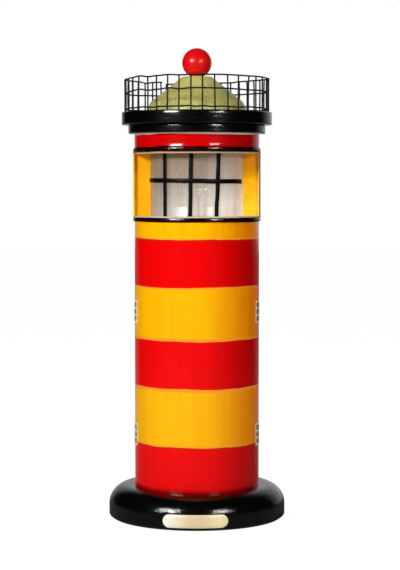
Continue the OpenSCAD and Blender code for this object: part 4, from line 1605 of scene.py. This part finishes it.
@dataclass
class Railing(Assembly):
    """The railing of hand-bent wire, a strip of wire grid rolled to a ring that doesn't quite meet."""

    wire_radius: float = 0.68 * MM
    ring_reach: float = 62.0 * MM
    post_reach: float = 63.3 * MM
    post_foot: float = 355.4 * MM
    # degrees round from the front, here and in the tables below
    starts: float = -148.0
    ends: float = 208.0
    posts: tuple[float, ...] = (
        -147.6, -139.5, -131.0, -122.0, -113.0, -104.0, -95.0, -86.0, -77.0, -68.0,
        -59.3, -50.5, -40.3, -31.4, -21.9, -12.6, -3.3, 5.6, 15.2, 25.8,
        35.2, 45.6, 54.6, 64.5, 74.5, 83.5, 92.5, 101.0, 110.0, 118.5,
        127.0, 135.5, 143.7, 152.0, 161.0, 170.0, 179.5, 189.0, 198.5, 207.4,
    )  # fmt: skip
    top_mm: tuple[Span, ...] = (
        (-148.0, 386.9), (-147.0, 387.0), (-139.5, 386.5), (-132.2, 385.4), (-121.0, 386.2),
        (-110.9, 386.3), (-95.0, 385.9), (-77.3, 386.1), (-64.0, 386.3), (-50.4, 387.2), (-40.2, 386.1),
        (-31.0, 386.7), (-21.4, 387.3), (-11.6, 386.78), (-2.3, 387.2), (6.9, 387.21), (16.3, 387.3),
        (27.1, 387.24), (36.0, 387.12), (46.1, 386.87), (55.5, 387.09), (67.4, 387.07), (79.1, 386.76),
        (100.0, 387.0), (121.2, 387.4), (143.7, 387.2), (150.2, 386.54), (161.1, 386.56), (180.0, 386.2),
        (196.0, 385.7), (208.0, 385.3),
    )  # fmt: skip
    middle_mm: tuple[Span, ...] = (
        (-148.0, 374.2), (-141.7, 374.48), (-112.0, 373.77), (-95.0, 373.9), (-72.0, 374.08),
        (-59.3, 375.41), (-50.5, 375.84), (-40.2, 374.56), (-31.0, 375.1), (-21.4, 376.1), (-11.6, 375.17),
        (-2.3, 375.94), (6.8, 375.95), (16.3, 375.79), (27.1, 375.68), (36.0, 375.26), (46.1, 374.96),
        (64.5, 375.29), (79.2, 374.78), (100.0, 375.2), (122.9, 375.61), (143.7, 375.46), (170.0, 375.0),
        (190.0, 374.6), (208.0, 374.4),
    )  # fmt: skip
    low_mm: float = 360.4
    low_sway: float = 0.55 * MM
    low_bends: int = 60
    bends: int = 44
    bend_mm: float = 0.3
    lean: float = 0.5
    bow_mm: float = 0.35
    past_top_mm: Span = (0.1, 0.5)
    ring_seed: int = 23
    post_seed: int = 37
    line_steps: int = 178
    post_steps: int = 8
    sides: int = 8

    def round_at_step(self, step: int, steps: int) -> float:
        """How many degrees round a step is, of so many along the strip."""
        return self.starts + (self.ends - self.starts) * step / steps

    def level_wire(self, heights: Callable[[float], float], dice: random.Random) -> Skin:
        """Bend one level wire.

        Args:
            heights: its height at an angle in degrees.
            dice: where its small bends come from.

        Returns:
            The wire's skin.
        """
        spots = [self.round_at_step(k, self.bends) for k in range(self.bends + 1)]
        bends = [(spot, dice.uniform(-self.bend_mm, self.bend_mm) * MM) for spot in spots]
        line = []
        for k in range(self.line_steps + 1):
            degrees = self.round_at_step(k, self.line_steps)
            reach = self.ring_reach + between(bends, degrees)
            line.append(Vector(on_cylinder(reach, math.radians(degrees), heights(degrees))))
        return wire(line, self.wire_radius, self.sides)

    def level_wires(self) -> bpy.types.Object:
        """Bend the three level wires.

        Returns:
            The wires as one piece.
        """
        dice = random.Random(self.ring_seed)
        spots = [self.round_at_step(k, self.low_bends) for k in range(self.low_bends + 1)]
        sway = [(spot, dice.uniform(-1.0, 1.0)) for spot in spots]
        wires = [
            self.level_wire(lambda d: between(self.top_mm, d) * MM, dice),
            self.level_wire(lambda d: between(self.middle_mm, d) * MM, dice),
            self.level_wire(lambda d: self.low_mm * MM + between(sway, d) * self.low_sway, dice),
        ]
        return joined("railing_level_wires", wires)

    def uprights(self) -> bpy.types.Object:
        """Bend the upright wires, which stand in the gallery's groove.

        Returns:
            The wires as one piece.
        """
        dice = random.Random(self.post_seed)
        parts = []
        for degrees in self.posts:
            lean = dice.uniform(-self.lean, self.lean)
            bow = dice.uniform(-self.bow_mm, self.bow_mm) * MM
            head = between(self.top_mm, degrees) * MM + dice.uniform(*self.past_top_mm) * MM
            line = []
            for k in range(self.post_steps + 1):
                share = k / self.post_steps
                angle = math.radians(degrees + lean * (share - 0.5))
                reach = self.post_reach + bow * math.sin(math.pi * share)
                height = self.post_foot + (head - self.post_foot) * share
                line.append(Vector(on_cylinder(reach, angle, height)))
            parts.append(wire(line, self.wire_radius, self.sides))
        return joined("railing_uprights", parts)

    def build(self, shop: PaintShop) -> None:
        """Make and dress the railing."""
        shop.dress_piece(self.level_wires(), "railing_black", Body.CAP, "railing_rings")
        shop.dress_piece(self.uprights(), "railing_black", Body.CAP, "railing_posts")


def main() -> None:
    """Load the frame, set the studio and build each sub-assembly."""
    logging.basicConfig(level=logging.INFO, format="%(name)s: %(message)s")
    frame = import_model()
    Studio().build()
    shop = PaintShop(frame)
    for assembly in (
        BaseTurning(),
        Tower(),
        LanternRoom(),
        Glazing(),
        Lampholder(),
        Bulb(),
        RoofPiece(),
        Railing(),
    ):
        assembly.build(shop)
        LOG.info("%s is done", type(assembly).__name__)


if __name__ == "__main__":
    main()
